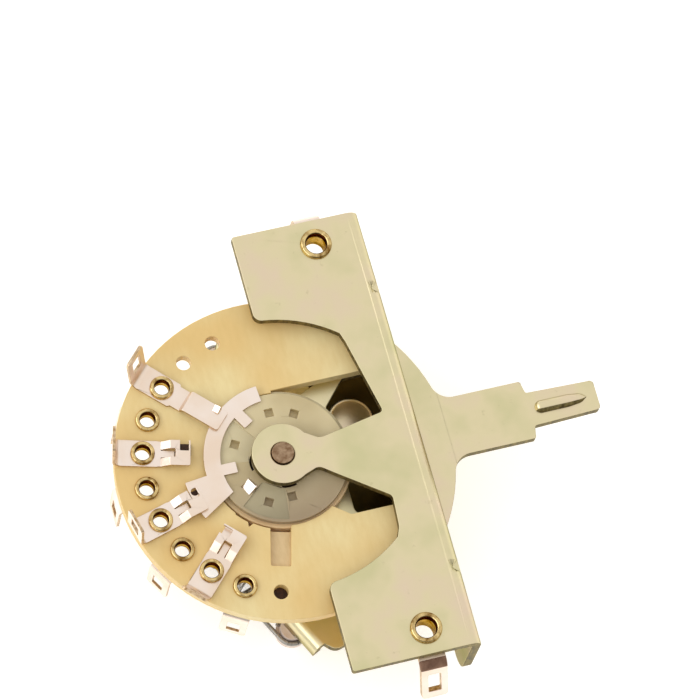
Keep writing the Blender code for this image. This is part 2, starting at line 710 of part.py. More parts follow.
def ring_outline(sign, nose_angle, ring_start):
    """A ring segment with a wiping nose at one end and inner teeth. A negative sign mirrors it."""
    nose_start = nose_angle - NOSE_HALF_ANGLE
    nose_end = nose_angle + NOSE_HALF_ANGLE
    points = [polar(RING_OUTER, a) for a in steps_between(ring_start, nose_start, 8)]
    points += [polar(NOSE_RADIUS, a) for a in steps_between(nose_start + 1, nose_end, 6)]
    inner = steps_between(nose_end - 3, ring_start, 8)
    tooth_half = math.degrees(TOOTH_WIDTH / 2 / RING_INNER)
    teeth = list(TOOTH_ANGLES)
    for angle in inner:
        blocked = any(abs(angle - tooth) < tooth_half + 1.5 for tooth in TOOTH_ANGLES)
        while teeth and teeth[-1] > angle:
            tooth = teeth.pop()
            points += [polar(RING_INNER, tooth + tooth_half), polar(TOOTH_INNER, tooth, TOOTH_WIDTH / 2)]
            points += [polar(TOOTH_INNER, tooth, -TOOTH_WIDTH / 2), polar(RING_INNER, tooth - tooth_half)]
        if not blocked:
            points.append(polar(RING_INNER, angle))
    return [(sign * x, z) for x, z in points]


def build_blades(parts):
    front = WAFER_FRONT - BLADE_LIFT - BLADE
    outline = ring_outline(1, NOSE_ANGLE, RING_START)
    hole = circle(polar(NOSE_HOLE_RADIUS, NOSE_HOLE_ANGLE), NOSE_HOLE, 10)
    plate("front_rotor_blade", outline, [hole], front, BLADE, "silver", parts, AXIS)
    rear_outline = [rotated(point, POSITION_STEP) for point in ring_outline(-1, NOSE_ANGLE, RING_START)]
    plate("rear_rotor_blade", rear_outline, [], WAFER_BACK + BLADE_LIFT, BLADE, "silver", parts, AXIS)


def rotated(point, degrees):
    """A front-view point turned about the shaft, positive towards +X on the lower side."""
    moved = Vector((point[0], point[1] + PIVOT_DROP))
    moved.rotate(Matrix.Rotation(math.radians(-degrees), 2))
    return moved.x, moved.y - PIVOT_DROP


def build_rotor(parts, cutters):
    front = WAFER_FRONT - BLADE_LIFT + SEAT
    rear = WAFER_BACK + BLADE_LIFT - SEAT
    bore = SHAFT_RADIUS + SEAT
    boss_end = LEVER_FRONT - SEAT
    profile = [(bore, boss_end), (ROTOR_BOSS, boss_end), (ROTOR_BOSS, rear), (ROTOR_RADIUS, rear)]
    profile += [(ROTOR_RADIUS, front), (bore, front)]
    rotor = turned("rotor", profile, "nylon", parts, AXIS, ROTOR_STEPS, closed=True)
    shape = bpy.data.meshes.new("rotor_pockets")
    boxes = bmesh.new()
    for angle in POCKET_ANGLES + (WINDOW_ANGLE,):
        x, z = polar(POCKET_RADIUS, angle)
        depth = 4 * WAFER if angle == WINDOW_ANGLE else 2 * POCKET_DEPTH
        size = Matrix.Diagonal((POCKET * MM, depth * MM, POCKET * MM, 1))
        turn = Matrix.Rotation(math.radians(-angle), 4, "Y")
        place = Matrix.Translation(Vector((x, front, z)) * MM)
        bmesh.ops.create_cube(boxes, size=1, matrix=place @ turn @ size)
    boxes.to_mesh(shape)
    boxes.free()
    cutter = bpy.data.objects.new("rotor_pockets", shape)
    cutters.objects.link(cutter)
    hide_cutter(cutter)
    cut = rotor.modifiers.new("pockets", "BOOLEAN")
    cut.operation = "DIFFERENCE"
    cut.object = cutter
    return rotor


# Shaft and detent

def build_shaft(parts):
    head_front = FRONT_FACE - SEAT - JOURNAL_HEAD_HEIGHT
    shoulder = FLANGE_BACK + SEAT
    washer_back = SPRING_Y + CAM / 2 + END_WASHER + 2 * SEAT
    rear = washer_back + SEAT + SHAFT_END_HEIGHT
    profile = [(0, rear), (SHAFT_END_HEAD * 0.7, rear), (SHAFT_END_HEAD, rear - SHAFT_END_HEIGHT * 0.6)]
    profile += [(SHAFT_END_HEAD, washer_back + SEAT), (SHAFT_RADIUS, washer_back + SEAT), (SHAFT_RADIUS, shoulder)]
    profile += [(JOURNAL_RADIUS, shoulder), (JOURNAL_RADIUS, FRONT_FACE - SEAT), (JOURNAL_HEAD, FRONT_FACE - SEAT)]
    profile += [(JOURNAL_HEAD, head_front + 0.12), (JOURNAL_HEAD - 0.2, head_front), (0, head_front)]
    turned("pivot_shaft", profile, "rivet", parts, AXIS)
    bore = SHAFT_RADIUS + SEAT
    sleeve = [(bore, ARM_FRONT - SEAT), (SPACER_RADIUS, ARM_FRONT - SEAT), (SPACER_RADIUS, LEVER_BACK + SEAT)]
    sleeve += [(bore, LEVER_BACK + SEAT)]
    turned("shaft_spacer", sleeve, "steel", parts, AXIS, closed=True)
    near = SPRING_Y + CAM / 2 + SEAT
    washer = [(bore, near + END_WASHER), (END_WASHER_RADIUS, near + END_WASHER), (END_WASHER_RADIUS, near)]
    washer += [(bore, near)]
    turned("end_washer", washer, "zinc", parts, AXIS, closed=True)


def cam_outline():
    """A round cam with a notch for the roller at each lever position."""
    reach = ROLLER_RADIUS + SEAT
    cosine = (CAM_RADIUS ** 2 + NOTCH_CENTRE ** 2 - reach ** 2) / (2 * CAM_RADIUS * NOTCH_CENTRE)
    half = math.degrees(math.acos(cosine))
    points = []
    for i in range(POSITIONS):
        notch = POSITION_STEP * i - SWING
        centre = Vector(polar(NOTCH_CENTRE, notch))
        left = Vector(polar(CAM_RADIUS, notch - half)) - centre
        right = Vector(polar(CAM_RADIUS, notch + half)) - centre
        sweep = left.angle_signed(right)
        for step in range(NOTCH_STEPS + 1):
            spoke = left.copy()
            spoke.rotate(Matrix.Rotation(-sweep * step / NOTCH_STEPS, 2))
            points.append(tuple(centre + spoke))
    points += [polar(CAM_RADIUS, a) for a in steps_between(SWING + half, 360 - SWING - half, ARC_STEP)[1:-1]]
    return points


def build_cam(parts, cutters):
    near = SPRING_Y - CAM / 2
    hole = circle(AXIS, SHAFT_RADIUS + SEAT)
    cam = plate("detent_cam", cam_outline(), [hole], near, CAM, "steel", parts, AXIS)
    start = REAR_FACE + SEAT
    bore = SHAFT_RADIUS + SEAT
    overlap = 0.2
    profile = [(bore, near + overlap), (CAM_HUB, near + overlap), (CAM_HUB, start), (bore, start)]
    hub = turned("cam_hub", profile, "steel", cutters, AXIS, closed=True)
    hide_cutter(hub)
    join = cam.modifiers.new("hub", "BOOLEAN")
    join.operation = "UNION"
    join.object = hub


def roller_drop():
    return PIVOT_DROP + ROLLER_CENTRE


def build_roller(parts):
    """The roller stands just clear of the cam's rim, from where it drops into the notch above it."""
    half = COIL_RADIUS + 2 * SEAT
    end = half + ROLLER_FLANGE_WIDTH
    profile = [(0, end), (ROLLER_FLANGE, end), (ROLLER_FLANGE, half), (ROLLER_RADIUS, half)]
    profile += [(ROLLER_RADIUS, -half), (ROLLER_FLANGE, -half), (ROLLER_FLANGE, -end), (0, -end)]
    profile = [(radius, SPRING_Y + y) for radius, y in profile]
    turned("detent_roller", profile, "steel", parts, (0, -roller_drop()), 16)


def spring_axis(share):
    """The middle line of the coils in front view, from -1 at one lug to +1 at the other."""
    low = -(roller_drop() + ROLLER_RADIUS + COIL_RADIUS + SEAT)
    high = -LUG_DROP
    softness = 0.12
    curve = (math.sqrt(share ** 2 + softness ** 2) - softness) / (math.sqrt(1 + softness ** 2) - softness)
    return Vector((share * LUG_X, low + (high - low) * curve))


def spring_points():
    """One wire: a full loop round each lug and an open coil between them."""
    coil = COIL_RADIUS - WIRE / 2
    body = 1 - (2 * COIL_RADIUS + 0.2) / LUG_X / 1.08
    total = COIL_TURNS * COIL_POINTS
    helix = []
    for i in range(total + 1):
        share = -body + 2 * body * i / total
        here = spring_axis(share)
        ahead = (spring_axis(share + 0.01) - spring_axis(share - 0.01)).normalized()
        normal = Vector((ahead.y, -ahead.x))
        turn = 2 * math.pi * i / COIL_POINTS
        flat = here + normal * coil * math.cos(turn)
        helix.append((flat.x, SPRING_Y + coil * math.sin(turn), flat.y))
    centre = spring_axis(1)
    ahead = (spring_axis(1.0) - spring_axis(0.98)).normalized()
    normal = Vector((ahead.y, -ahead.x))
    loop = []
    for i in range(15):
        turn = math.radians(22 * i)
        flat = centre + normal * coil * math.cos(turn) + ahead * coil * math.sin(turn)
        loop.append((flat.x, SPRING_Y, flat.y))
    other = [(-x, y, z) for x, y, z in reversed(loop)]
    return other + helix + loop


def build_spring(parts):
    curve = bpy.data.curves.new("detent_spring", "CURVE")
    curve.dimensions = "3D"
    curve.bevel_depth = WIRE / 2 * MM
    curve.bevel_resolution = 1
    curve.use_fill_caps = True
    points = spring_points()
    spline = curve.splines.new("POLY")
    spline.points.add(len(points) - 1)
    for point, co in zip(spline.points, points):
        point.co = (co[0] * MM, co[1] * MM, co[2] * MM, 1)
    return finish(bpy.data.objects.new("detent_spring", curve), "steel", parts)


def build_bushes(parts, cutters):
    """A flanged bush on each lug's finger, inside the spring's loop."""
    core = COIL_RADIUS - WIRE - SEAT
    near = SPRING_Y - BUSH_LENGTH / 2
    far = SPRING_Y + BUSH_LENGTH / 2 + 0.5
    step = SPRING_Y + WIRE / 2 + 2 * SEAT
    centre, along, across = lug_frame()
    for side, name in ((-1, "spring_bush_upper"), (1, "spring_bush_lower")):
        profile = [(0, far), (BUSH_FLANGE, far), (BUSH_FLANGE, step), (core, step), (core, near), (0, near)]
        bush = turned(name, profile, "silver", parts, (side * LUG_X, -LUG_DROP))
        shape = bpy.data.meshes.new(name + "_slot")
        box = bmesh.new()
        size = ((LUG_FINGER + 2 * SEAT) * MM, 3 * BUSH_LENGTH * MM, (SHEET + 2 * SEAT) * MM)
        bmesh.ops.create_cube(box, size=1, matrix=Matrix.Diagonal((*size, 1)))
        box.to_mesh(shape)
        box.free()
        cutter = bpy.data.objects.new(name + "_slot", shape)
        cutter.location = Vector((side * LUG_X, SPRING_Y, -LUG_DROP)) * MM
        cutter.rotation_euler = (0, -side * math.radians(LUG_TILT), 0)
        cutters.objects.link(cutter)
        hide_cutter(cutter)
        cut = bush.modifiers.new("slot", "BOOLEAN")
        cut.operation = "DIFFERENCE"
        cut.object = cutter


# Frame eyelets and ground lugs

def build_ground_lug(name, side, angle, parts):
    """A solder lug clamped between the flange and the wafer, its tail folded back past the frame's end.
    It is drawn with X across and Y out along the tail."""
    half = GROUND_LUG_WIDTH / 2
    open_angle = math.degrees(math.asin(half / GROUND_LUG_EYE))
    tail_end = GROUND_LUG_STRAIGHT + GROUND_LUG_FOLD * math.radians(angle) + GROUND_LUG_TAIL
    ring = sharp(arc((0, 0), GROUND_LUG_EYE, 90 + open_angle, 450 - open_angle))
    outline = rounded(ring + [(half, tail_end, 0.4), (-half, tail_end, 0.4)])
    eyelet = circle((0, 0), FRAME_EYELET_TUBE + SEAT)
    sheet = open_sheet(name, outline, [eyelet, slot_near(tail_end)])
    fold = Vector((0, GROUND_LUG_STRAIGHT, 0)) * MM
    bend(sheet, fold, Vector((0, 1, 0)), Vector((0, 0, -1)), angle, GROUND_LUG_FOLD * MM, lambda point: True)
    lug = solid_sheet(name, sheet, GROUND_LUG - SEAT, "silver", parts)
    lug.location = Vector((side * FRAME_EYELET_X, FLANGE_BACK + (GROUND_LUG + SEAT) / 2, -FRAME_EYELET_DROP)) * MM
    lug.rotation_euler = (math.radians(90), side * math.radians(90), 0)


def build_frame_fixings(parts):
    for side, end in ((-1, "upper"), (1, "lower")):
        build_ground_lug(f"ground_lug_{end}", side, GROUND_LUG_ANGLES[end], parts)
        build_eyelet(f"frame_eyelet_{end}", (side * FRAME_EYELET_X, -FRAME_EYELET_DROP), FRONT_FACE, WAFER_BACK,
                     FRAME_EYELET_BORE, FRAME_EYELET_TUBE, FRAME_EYELET_RIM, ROUND_STEPS, parts)


def main():
    clear_scene()
    parts = new_collection("pickup_selector_switch")
    cutters = new_collection("cutters")
    build_frame(parts)
    build_wafer(parts)
    build_terminals(parts)
    build_rotor(parts, cutters)
    build_blades(parts)
    build_lever(parts, cutters)
    build_shaft(parts)
    build_cam(parts, cutters)
    build_roller(parts)
    build_spring(parts)
    build_bushes(parts, cutters)
    build_frame_fixings(parts)


main()
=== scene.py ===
import math

import bmesh
import bpy
from mathutils import Matrix, Vector


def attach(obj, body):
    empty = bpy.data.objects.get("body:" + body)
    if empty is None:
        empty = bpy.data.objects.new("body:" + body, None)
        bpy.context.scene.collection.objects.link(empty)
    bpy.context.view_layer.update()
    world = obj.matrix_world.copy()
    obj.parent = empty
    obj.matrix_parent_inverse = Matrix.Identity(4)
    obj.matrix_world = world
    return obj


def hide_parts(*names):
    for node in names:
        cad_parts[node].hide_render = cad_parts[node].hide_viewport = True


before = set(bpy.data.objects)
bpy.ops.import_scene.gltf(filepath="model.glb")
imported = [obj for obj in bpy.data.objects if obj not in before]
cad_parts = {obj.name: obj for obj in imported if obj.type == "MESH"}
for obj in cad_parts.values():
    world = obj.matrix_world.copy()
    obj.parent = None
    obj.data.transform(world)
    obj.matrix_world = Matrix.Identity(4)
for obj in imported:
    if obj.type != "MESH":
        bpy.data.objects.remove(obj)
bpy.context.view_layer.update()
print("packed frame loaded")

mm = 0.001
tiny = 0.002 * mm         # points closer than this are merged
gap = 0.03                # room between pieces that run or sit on each other
pivot = (0, -16.2)        # shaft centre in front view (X, Z)
levels = {                # faces along Y, from the contact side to the spring side
    "flangeFront": -5.6,
    "flangeBack": -4.5,
    "waferFront": -3.67,
    "waferBack": -2.13,
    "leverFront": -1.1,
    "leverBack": 0.1,
    "armFront": 4.5,
    "armBack": 5.6,
    "springMiddle": 7.8,
}
standUp = Matrix.Rotation(math.radians(90), 4, "X")      # a drawing on XY becomes a front view


def shift(x=0, y=0, z=0):
    return Matrix.Translation((x * mm, y * mm, z * mm))


def stoodAt(depth):
    return shift(y=depth) @ standUp


# Colours and nodes

def linearColour(code):
    channels = []
    for i in (0, 2, 4):
        value = int(code[i:i + 2], 16) / 255
        channels.append(value / 12.92 if value <= 0.04045 else ((value + 0.055) / 1.055) ** 2.4)
    return (*channels, 1)


# Colour stops are (position, hex) pairs.
def fillRamp(ramp, stops):
    ramp.elements[0].position, ramp.elements[0].color = stops[0][0], linearColour(stops[0][1])
    ramp.elements[1].position, ramp.elements[1].color = stops[-1][0], linearColour(stops[-1][1])
    for position, code in stops[1:-1]:
        ramp.elements.new(position).color = linearColour(code)


# One node with its settings and links, both by the name or number of an input.
def addNode(tree, kind, settings=None, links=None):
    node = tree.nodes.new(kind)
    for name, value in (settings or {}).items():
        if name == "stops":
            fillRamp(node.color_ramp, value)
        elif isinstance(name, int) or name in node.inputs:
            node.inputs[name].default_value = value
        else:
            setattr(node, name, value)
    for name, source in (links or {}).items():
        tree.links.new(source, node.inputs[name])
    return node


noiseRange = {"From Min": 0.3, "From Max": 0.7}


# The cloud of a finish gives its colour, and the grain its roughness and bump. Without a grain the cloud
# gives all. A pattern is (size, detail, break-up), and a stretch where it is longer one way. A layer gives a
# share and the colour that goes over.
def makeFinish(name, look, *layers):
    made = bpy.data.materials.new(name)
    made.use_nodes = True
    tree = made.node_tree
    shader = tree.nodes["Principled BSDF"]
    shader.inputs["Metallic"].default_value = look["metallic"]
    shader.inputs["IOR"].default_value = look.get("ior", 1.5)
    if "grazing" in look:
        shader.inputs["Specular Tint"].default_value = linearColour(look["grazing"])
    place = addNode(tree, "ShaderNodeTexCoord").outputs["Object"]
    patterns = {}
    for part in ("cloud", "grain", "spots"):
        if part in look:
            size, detail, breakUp, *stretch = look[part]
            way = place
            if stretch:
                stretched = addNode(tree, "ShaderNodeMapping", {"Scale": stretch[0]}, {"Vector": place})
                way = stretched.outputs["Vector"]
            settings = {"Scale": 1 / (size * mm), "Detail": detail, "Roughness": breakUp}
            patterns[part] = addNode(tree, "ShaderNodeTexNoise", settings, {"Vector": way}).outputs["Fac"]
    cloud = patterns["cloud"]
    grain = patterns.get("grain", cloud)
    skin = addNode(tree, "ShaderNodeValToRGB", {"stops": look["stops"]}, {"Fac": cloud}).outputs["Color"]
    for layer in layers:
        share, colour = layer(tree, place, patterns, look)
        over = addNode(tree, "ShaderNodeMix", {"data_type": "RGBA"}, {0: share, 6: skin})
        if isinstance(colour, str):
            over.inputs[7].default_value = linearColour(colour)
        else:
            tree.links.new(colour, over.inputs[7])
        skin = over.outputs[2]
    tree.links.new(skin, shader.inputs["Base Color"])
    smooth, rough = look["roughness"]
    settings = {**noiseRange, "To Min": smooth, "To Max": rough}
    satin = addNode(tree, "ShaderNodeMapRange", settings, {"Value": grain}).outputs["Result"]
    tree.links.new(satin, shader.inputs["Roughness"])
    depth, strength = look["bump"]
    settings = {"Distance": depth * mm, "Strength": strength}
    relief = addNode(tree, "ShaderNodeBump", settings, {"Height": grain})
    tree.links.new(relief.outputs["Normal"], shader.inputs["Normal"])
    return made


# Yellow-passivated zinc plate on steel sheet: pale straw with soft pink and green clouds from the film,
# a satin reflection, faint fibrous grain of the sheet, a few darker pin spots, and painted shade, dark olive
# brown, on the inner face of the rear arm.
passivatedZinc = {
    "metallic": 1.0,
    "cloud": (8.0, 3.0, 0.55),
    "grain": (2.2, 2.0, 0.5),
    "stops": [(0.32, "D7D1A3"), (0.5, "E6DAB2"), (0.66, "E8D5BA")],
    "roughness": (0.3, 0.36),
    "bump": (0.01, 0.1),
    "grazing": "8C8F78",
    "spot": "B4A87A",
    "spots": (0.9, 2.0, 0.6),
    "spotRange": {"From Min": 0.68, "From Max": 0.8, "To Max": 0.3},
    "paintedShadeStops": [(0.35, "3A3018"), (0.65, "6A5C36")],
    "paintedShadeBox": (("Y", 4.5, 0.4), ("X", 0, 13.0), ("Z", -5.4, 3.9)),      # axis, middle and half length
}


def pinSpots(tree, place, patterns, look):
    share = addNode(tree, "ShaderNodeMapRange", look["spotRange"], {"Value": patterns["spots"]})
    return share.outputs["Result"], look["spot"]


# Painted shade: a dark olive brown over the zinc inside a box round the inner face of the rear arm.
def innerPaintedShade(tree, place, patterns, look):
    axes = addNode(tree, "ShaderNodeSeparateXYZ", {}, {"Vector": place}).outputs
    share = None
    for axis, middle, half in look["paintedShadeBox"]:
        settings = {"operation": "COMPARE", 1: middle * mm, 2: half * mm}
        inside = addNode(tree, "ShaderNodeMath", settings, {0: axes[axis]})
        if share:
            links = {0: share, 1: inside.outputs["Value"]}
            inside = addNode(tree, "ShaderNodeMath", {"operation": "MULTIPLY"}, links)
        share = inside.outputs["Value"]
    paintedShadeColour = addNode(tree, "ShaderNodeValToRGB", {"stops": look["paintedShadeStops"]}, {"Fac": patterns["cloud"]})
    return share, paintedShadeColour.outputs["Color"]


# The sheared edge of the same sheet: thin film over torn steel, so it is olive and rougher; it is darker
# partly from that and partly as painted shade.
shearedEdgeAndShade = {
    "metallic": 1.0,
    "cloud": (0.5, 3.0, 0.6, (1, 0.25, 1)),
    "stops": [(0.3, "544A30"), (0.7, "9C8E5E")],
    "roughness": (0.5, 0.62),
    "bump": (0.03, 0.5),
}

# Paper-based phenolic board, punched: cream yellow, satin, with faint fibres and broad warm clouds.
paperPhenolic = {
    "metallic": 0.0,
    "ior": 1.55,
    "cloud": (14.0, 2.0, 0.5),
    "grain": (1.6, 4.0, 0.6, (1, 1, 2.5)),
    "stops": [(0.38, "E6C480"), (0.6, "EEDBA2")],
    "fibre": "D8B872",
    "fibreShare": 0.28,
    "roughness": (0.42, 0.55),
    "bump": (0.01, 0.2),
}

# The same board, browner and darker as painted shade for the sunk web of the notch, with finer fibres.
shadedPaper = {
    **paperPhenolic,
    "cloud": (6.0, 2.0, 0.5),
    "grain": (1.0, 4.0, 0.6, (1, 1, 2.5)),
    "stops": [(0.38, "C8AA76"), (0.6, "DABE8E")],
    "fibre": "B49664",
}


def boardFibres(tree, place, patterns, look):
    settings = {**noiseRange, "To Min": 0.0, "To Max": look["fibreShare"]}
    share = addNode(tree, "ShaderNodeMapRange", settings, {"Value": patterns["grain"]})
    return share.outputs["Result"], look["fibre"]


# Silver plate on brass strip, stamped: pinkish white, smooth, with soft tarnish clouds.
silverPlate = {
    "metallic": 1.0,
    "cloud": (5.0, 3.0, 0.5),
    "grain": (1.6, 2.0, 0.5),
    "stops": [(0.35, "F4DFCB"), (0.65, "FBEDE2")],
    "roughness": (0.3, 0.36),
    "bump": (0.004, 0.08),
}

# Tinned bush: pinkish white like the plate but dull, so it keeps its brightness in the shade.
dullTin = {
    "metallic": 0.35,
    "cloud": (1.5, 3.0, 0.5),
    "stops": [(0.35, "DCC9BC"), (0.65, "F2E4DA")],
    "roughness": (0.45, 0.55),
    "bump": (0.01, 0.2),
}

# The cut rim of the silver-plated strip shows the brass core through smeared plate: pale brown gold.
cutBrass = {
    "metallic": 1.0,
    "cloud": (0.4, 2.0, 0.5),
    "stops": [(0.3, "B08F66"), (0.7, "E8D2B2")],
    "roughness": (0.3, 0.45),
    "bump": (0.01, 0.3),
}

# Painted shade in dull brown black silver: under two of the jaw windows, on the floors of the rotor's hub
# gaps and behind the blind spare hole.
paintedShadeSilver = {
    "metallic": 0.6,
    "cloud": (0.6, 3.0, 0.6),
    "stops": [(0.3, "2E211B"), (0.7, "5A4034")],
    "roughness": (0.5, 0.7),
    "bump": (0.01, 0.3),
}

# A lighter painted shade, brown, on the fold of the lower ground lug below the flange's edge.
foldShadeSilver = {
    **paintedShadeSilver,
    "cloud": (1.4, 3.0, 0.6),
    "stops": [(0.3, "6A4C3C"), (0.7, "A07E68")],
}

# Brass eyelet, drawn and rolled: golden, shiny, browned in patches.
rolledBrass = {
    "metallic": 1.0,
    "cloud": (1.1, 3.0, 0.6),
    "stops": [(0.32, "8A6732"), (0.56, "E6CC90")],
    "roughness": (0.3, 0.16),
    "bump": (0.01, 0.2),
    "grazing": "BFA473",
}

# Inside of the same eyelet near its front: duller, and painted dark brown as painted shade in the bore.
shadedBore = {
    "metallic": 1.0,
    "cloud": (0.8, 3.0, 0.6),
    "stops": [(0.3, "4A3013"), (0.65, "7E5A2C")],
    "roughness": (0.32, 0.42),
    "bump": (0.01, 0.3),
    "grazing": "6A5030",
}

# Natural nylon, moulded: greyish green white that lets some light in, darker where it turns from the light.
mouldedNylon = {
    "metallic": 0.0,
    "ior": 1.53,
    "cloud": (6.0, 2.0, 0.5),
    "stops": [(0.36, "C6B58A"), (0.62, "D6C79E")],
    "shade": "8E7860",
    "shadeRange": {"From Min": -1.0 * mm, "From Max": 7.0 * mm, "To Max": 0.75},
    "glow": {"Subsurface Weight": 0.25, "Subsurface Radius": (0.8, 0.8, 0.6), "Subsurface Scale": 1.0 * mm},
    "roughness": (0.38, 0.5),
    "bump": (0.01, 0.2),
}

# The thinner wall of the sunk sectors: a little greener, with a darker painted shade.
thinNylon = {
    **mouldedNylon,
    "cloud": (4.0, 2.0, 0.5),
    "stops": [(0.36, "CBBE98"), (0.62, "D6CAA4")],
    "shade": "7C7056",
}

# The skirt is lit by the board under it.
warmNylon = {
    **mouldedNylon,
    "cloud": (3.0, 2.0, 0.5),
    "stops": [(0.36, "B8AA84"), (0.62, "C9BC96")],
    "shade": "E2BC8C",
}


def shadedSide(tree, place, patterns, look):
    across = addNode(tree, "ShaderNodeSeparateXYZ", {}, {"Vector": place}).outputs["X"]
    share = addNode(tree, "ShaderNodeMapRange", look["shadeRange"], {"Value": across}).outputs["Result"]
    return share, look["shade"]


def makeNylon(name, look):
    made = makeFinish(name, look, shadedSide)
    for socket, value in look["glow"].items():
        made.node_tree.nodes["Principled BSDF"].inputs[socket].default_value = value
    return made


# Plain steel, turned or drawn: grey with fine tool lines.
plainSteel = {
    "metallic": 1.0,
    "cloud": (0.15, 2.0, 0.6, (0.3, 1, 1)),
    "stops": [(0.3, "8A857D"), (0.7, "B9B5AE")],
    "roughness": (0.25, 0.38),
    "bump": (0.005, 0.3),
}

# Steel shaft end, riveted over: brownish, rough where the tool has worked it.
rivetedSteel = {
    "metallic": 1.0,
    "cloud": (0.45, 3.0, 0.6, (1, 1, 0.7)),
    "stops": [(0.35, "86694F"), (0.65, "B3987C")],
    "roughness": (0.35, 0.5),
    "bump": (0.03, 0.6),
}

zincSheet = makeFinish("passivatedZincSteel", passivatedZinc, pinSpots, innerPaintedShade)
zincEdgeAndShade = makeFinish("shearedZincEdgeAndShade", shearedEdgeAndShade)
boardPaper = makeFinish("punchedPaperPhenolic", paperPhenolic, boardFibres)
webShadePaper = makeFinish("shadedPaperPhenolic", shadedPaper, boardFibres)
silverStrip = makeFinish("silverPlatedBrassStrip", silverPlate)
bushTin = makeFinish("dullTinnedBush", dullTin)
stripRim = makeFinish("cutBrassRim", cutBrass)
darkShade = makeFinish("paintedShadeSilver", paintedShadeSilver)
foldShade = makeFinish("foldShadeSilver", foldShadeSilver)
eyeletBrass = makeFinish("rolledBrassEyelet", rolledBrass)
eyeletBoreShade = makeFinish("shadedEyeletBore", shadedBore)
rotorNylon = makeNylon("mouldedNaturalNylon", mouldedNylon)
sectorNylon = makeNylon("thinNaturalNylon", thinNylon)
skirtNylon = makeNylon("warmNaturalNylon", warmNylon)
turnedSteel = makeFinish("drawnSteel", plainSteel)
rivetedEnd = makeFinish("rivetedSteelEnd", rivetedSteel)
print("materials made")


# Drawing and shaping

# A closed outline on the drawing plane. A step is a corner (x, y, rounding radius), where the radius can be
# left out, or goes on from the last point round a centre: ("round", x, y, degrees). A circle is a path alone.
def drawLoop(shape, path, arcStep=4.0):
    if path[0][0] == "circle":
        kind, x, y, radius, steps = path[0]
        bmesh.ops.create_circle(shape, cap_ends=False, radius=radius * mm, segments=steps,
                                matrix=shift(x, y))
        return
    corners = []
    first = None
    last = None
    for step in path:
        if step[0] == "round":
            kind, x, y, degrees = step
            steps = max(3, math.ceil(abs(degrees) / arcStep))
            turned = bmesh.ops.spin(shape, geom=[last], cent=(x * mm, y * mm, 0), axis=(0, 0, 1),
                                    angle=math.radians(degrees), steps=steps)
            last = turned["geom_last"][0]
        else:
            point = shape.verts.new((step[0] * mm, step[1] * mm, 0))
            if last:
                shape.edges.new((last, point))
            if len(step) > 2 and step[2] > 0:
                corners.append((point, step[2]))
            last = point
        first = first or last
    if (first.co - last.co).length < 1.5 * tiny:
        bmesh.ops.remove_doubles(shape, verts=[first, last], dist=1.5 * tiny)
    else:
        shape.edges.new((last, first))
    for point, radius in corners:
        roundCorner(shape, point, radius)


def roundCorner(shape, point, radius):
    rims = [edge for edge in point.link_edges if len(edge.link_faces) < 2]
    one, two = [edge.other_vert(point).co - point.co for edge in rims]
    half = one.angle(two) / 2
    reach = min(radius * mm / math.tan(half), 0.48 * one.length, 0.48 * two.length)
    steps = max(2, round((180 - 2 * math.degrees(half)) / 12))
    bmesh.ops.bevel(shape, geom=[point], offset=reach, offset_type="OFFSET", segments=steps, profile=0.5,
                    affect="VERTICES", clamp_overlap=False, material=-1)


def circle(centre, radius, steps=40):
    return [("circle", centre[0], centre[1], radius, steps)]


def rectangle(x0, y0, x1, y1, radius=0.0):
    return [(x0, y0, radius), (x1, y0, radius), (x1, y1, radius), (x0, y1, radius)]


def mirrored(corners):
    return [(-step[0], *step[1:]) for step in reversed(corners)]


# Front-view point at an angle from straight down round the shaft, positive towards +X.
def polarPoint(radius, degrees, across=0.0):
    angle = math.radians(degrees)
    return (pivot[0] + radius * math.sin(angle) + across * math.cos(angle),
            pivot[1] - radius * math.cos(angle) + across * math.sin(angle))


def fillOutline(shape, fewFaces=False):
    bmesh.ops.triangle_fill(shape, use_beauty=True, use_dissolve=False, edges=shape.edges[:],
                            normal=(0, 0, 1))
    if fewFaces:
        bmesh.ops.dissolve_limit(shape, angle_limit=math.radians(0.5), use_dissolve_boundaries=False,
                                 verts=[], edges=shape.edges[:])
    for face in shape.faces:
        if face.normal.z < 0:
            face.normal_flip()


def flatShape(*paths, fewFaces=False, arcStep=4.0):
    shape = bmesh.new()
    for path in paths:
        drawLoop(shape, path, arcStep)
    fillOutline(shape, fewFaces)
    return shape


def meshOf(name, shape):
    data = bpy.data.meshes.new(name)
    shape.to_mesh(data)
    shape.free()
    return data


def addObject(name, data):
    item = bpy.data.objects.new(name, data)
    bpy.context.scene.collection.objects.link(item)
    return item


def joinShape(target, source, matrix=Matrix.Identity(4)):
    source.transform(matrix)
    part = meshOf("part", source)
    target.from_mesh(part)
    bpy.data.meshes.remove(part)


def pickVerts(items):
    return [item for item in items if isinstance(item, bmesh.types.BMVert)]


def pickEdges(items):
    return [item for item in items if isinstance(item, bmesh.types.BMEdge)]


def nearestPoint(shape, place):
    return min(shape.verts, key=lambda point: (point.co - Vector(place) * mm).length)


def edgeBetween(shape, *ends):
    return shape.edges.get([nearestPoint(shape, end) for end in ends])


def openAt(shape, *ends):
    bmesh.ops.delete(shape, geom=[edgeBetween(shape, *ends)], context="EDGES")


def openEdges(shape):
    return [edge for edge in shape.edges if len(edge.link_faces) == 1]


# Turns an edge round a line, which makes the rounded strip of a fold. Gives the edge at its far end.
def foldEdge(shape, edge, centre, axis, degrees, step=7.0):
    turned = bmesh.ops.spin(shape, geom=[edge, *edge.verts], cent=Vector(centre) * mm, axis=axis,
                            angle=math.radians(degrees), steps=max(3, math.ceil(abs(degrees) / step)))
    return pickEdges(turned["geom_last"])[0]


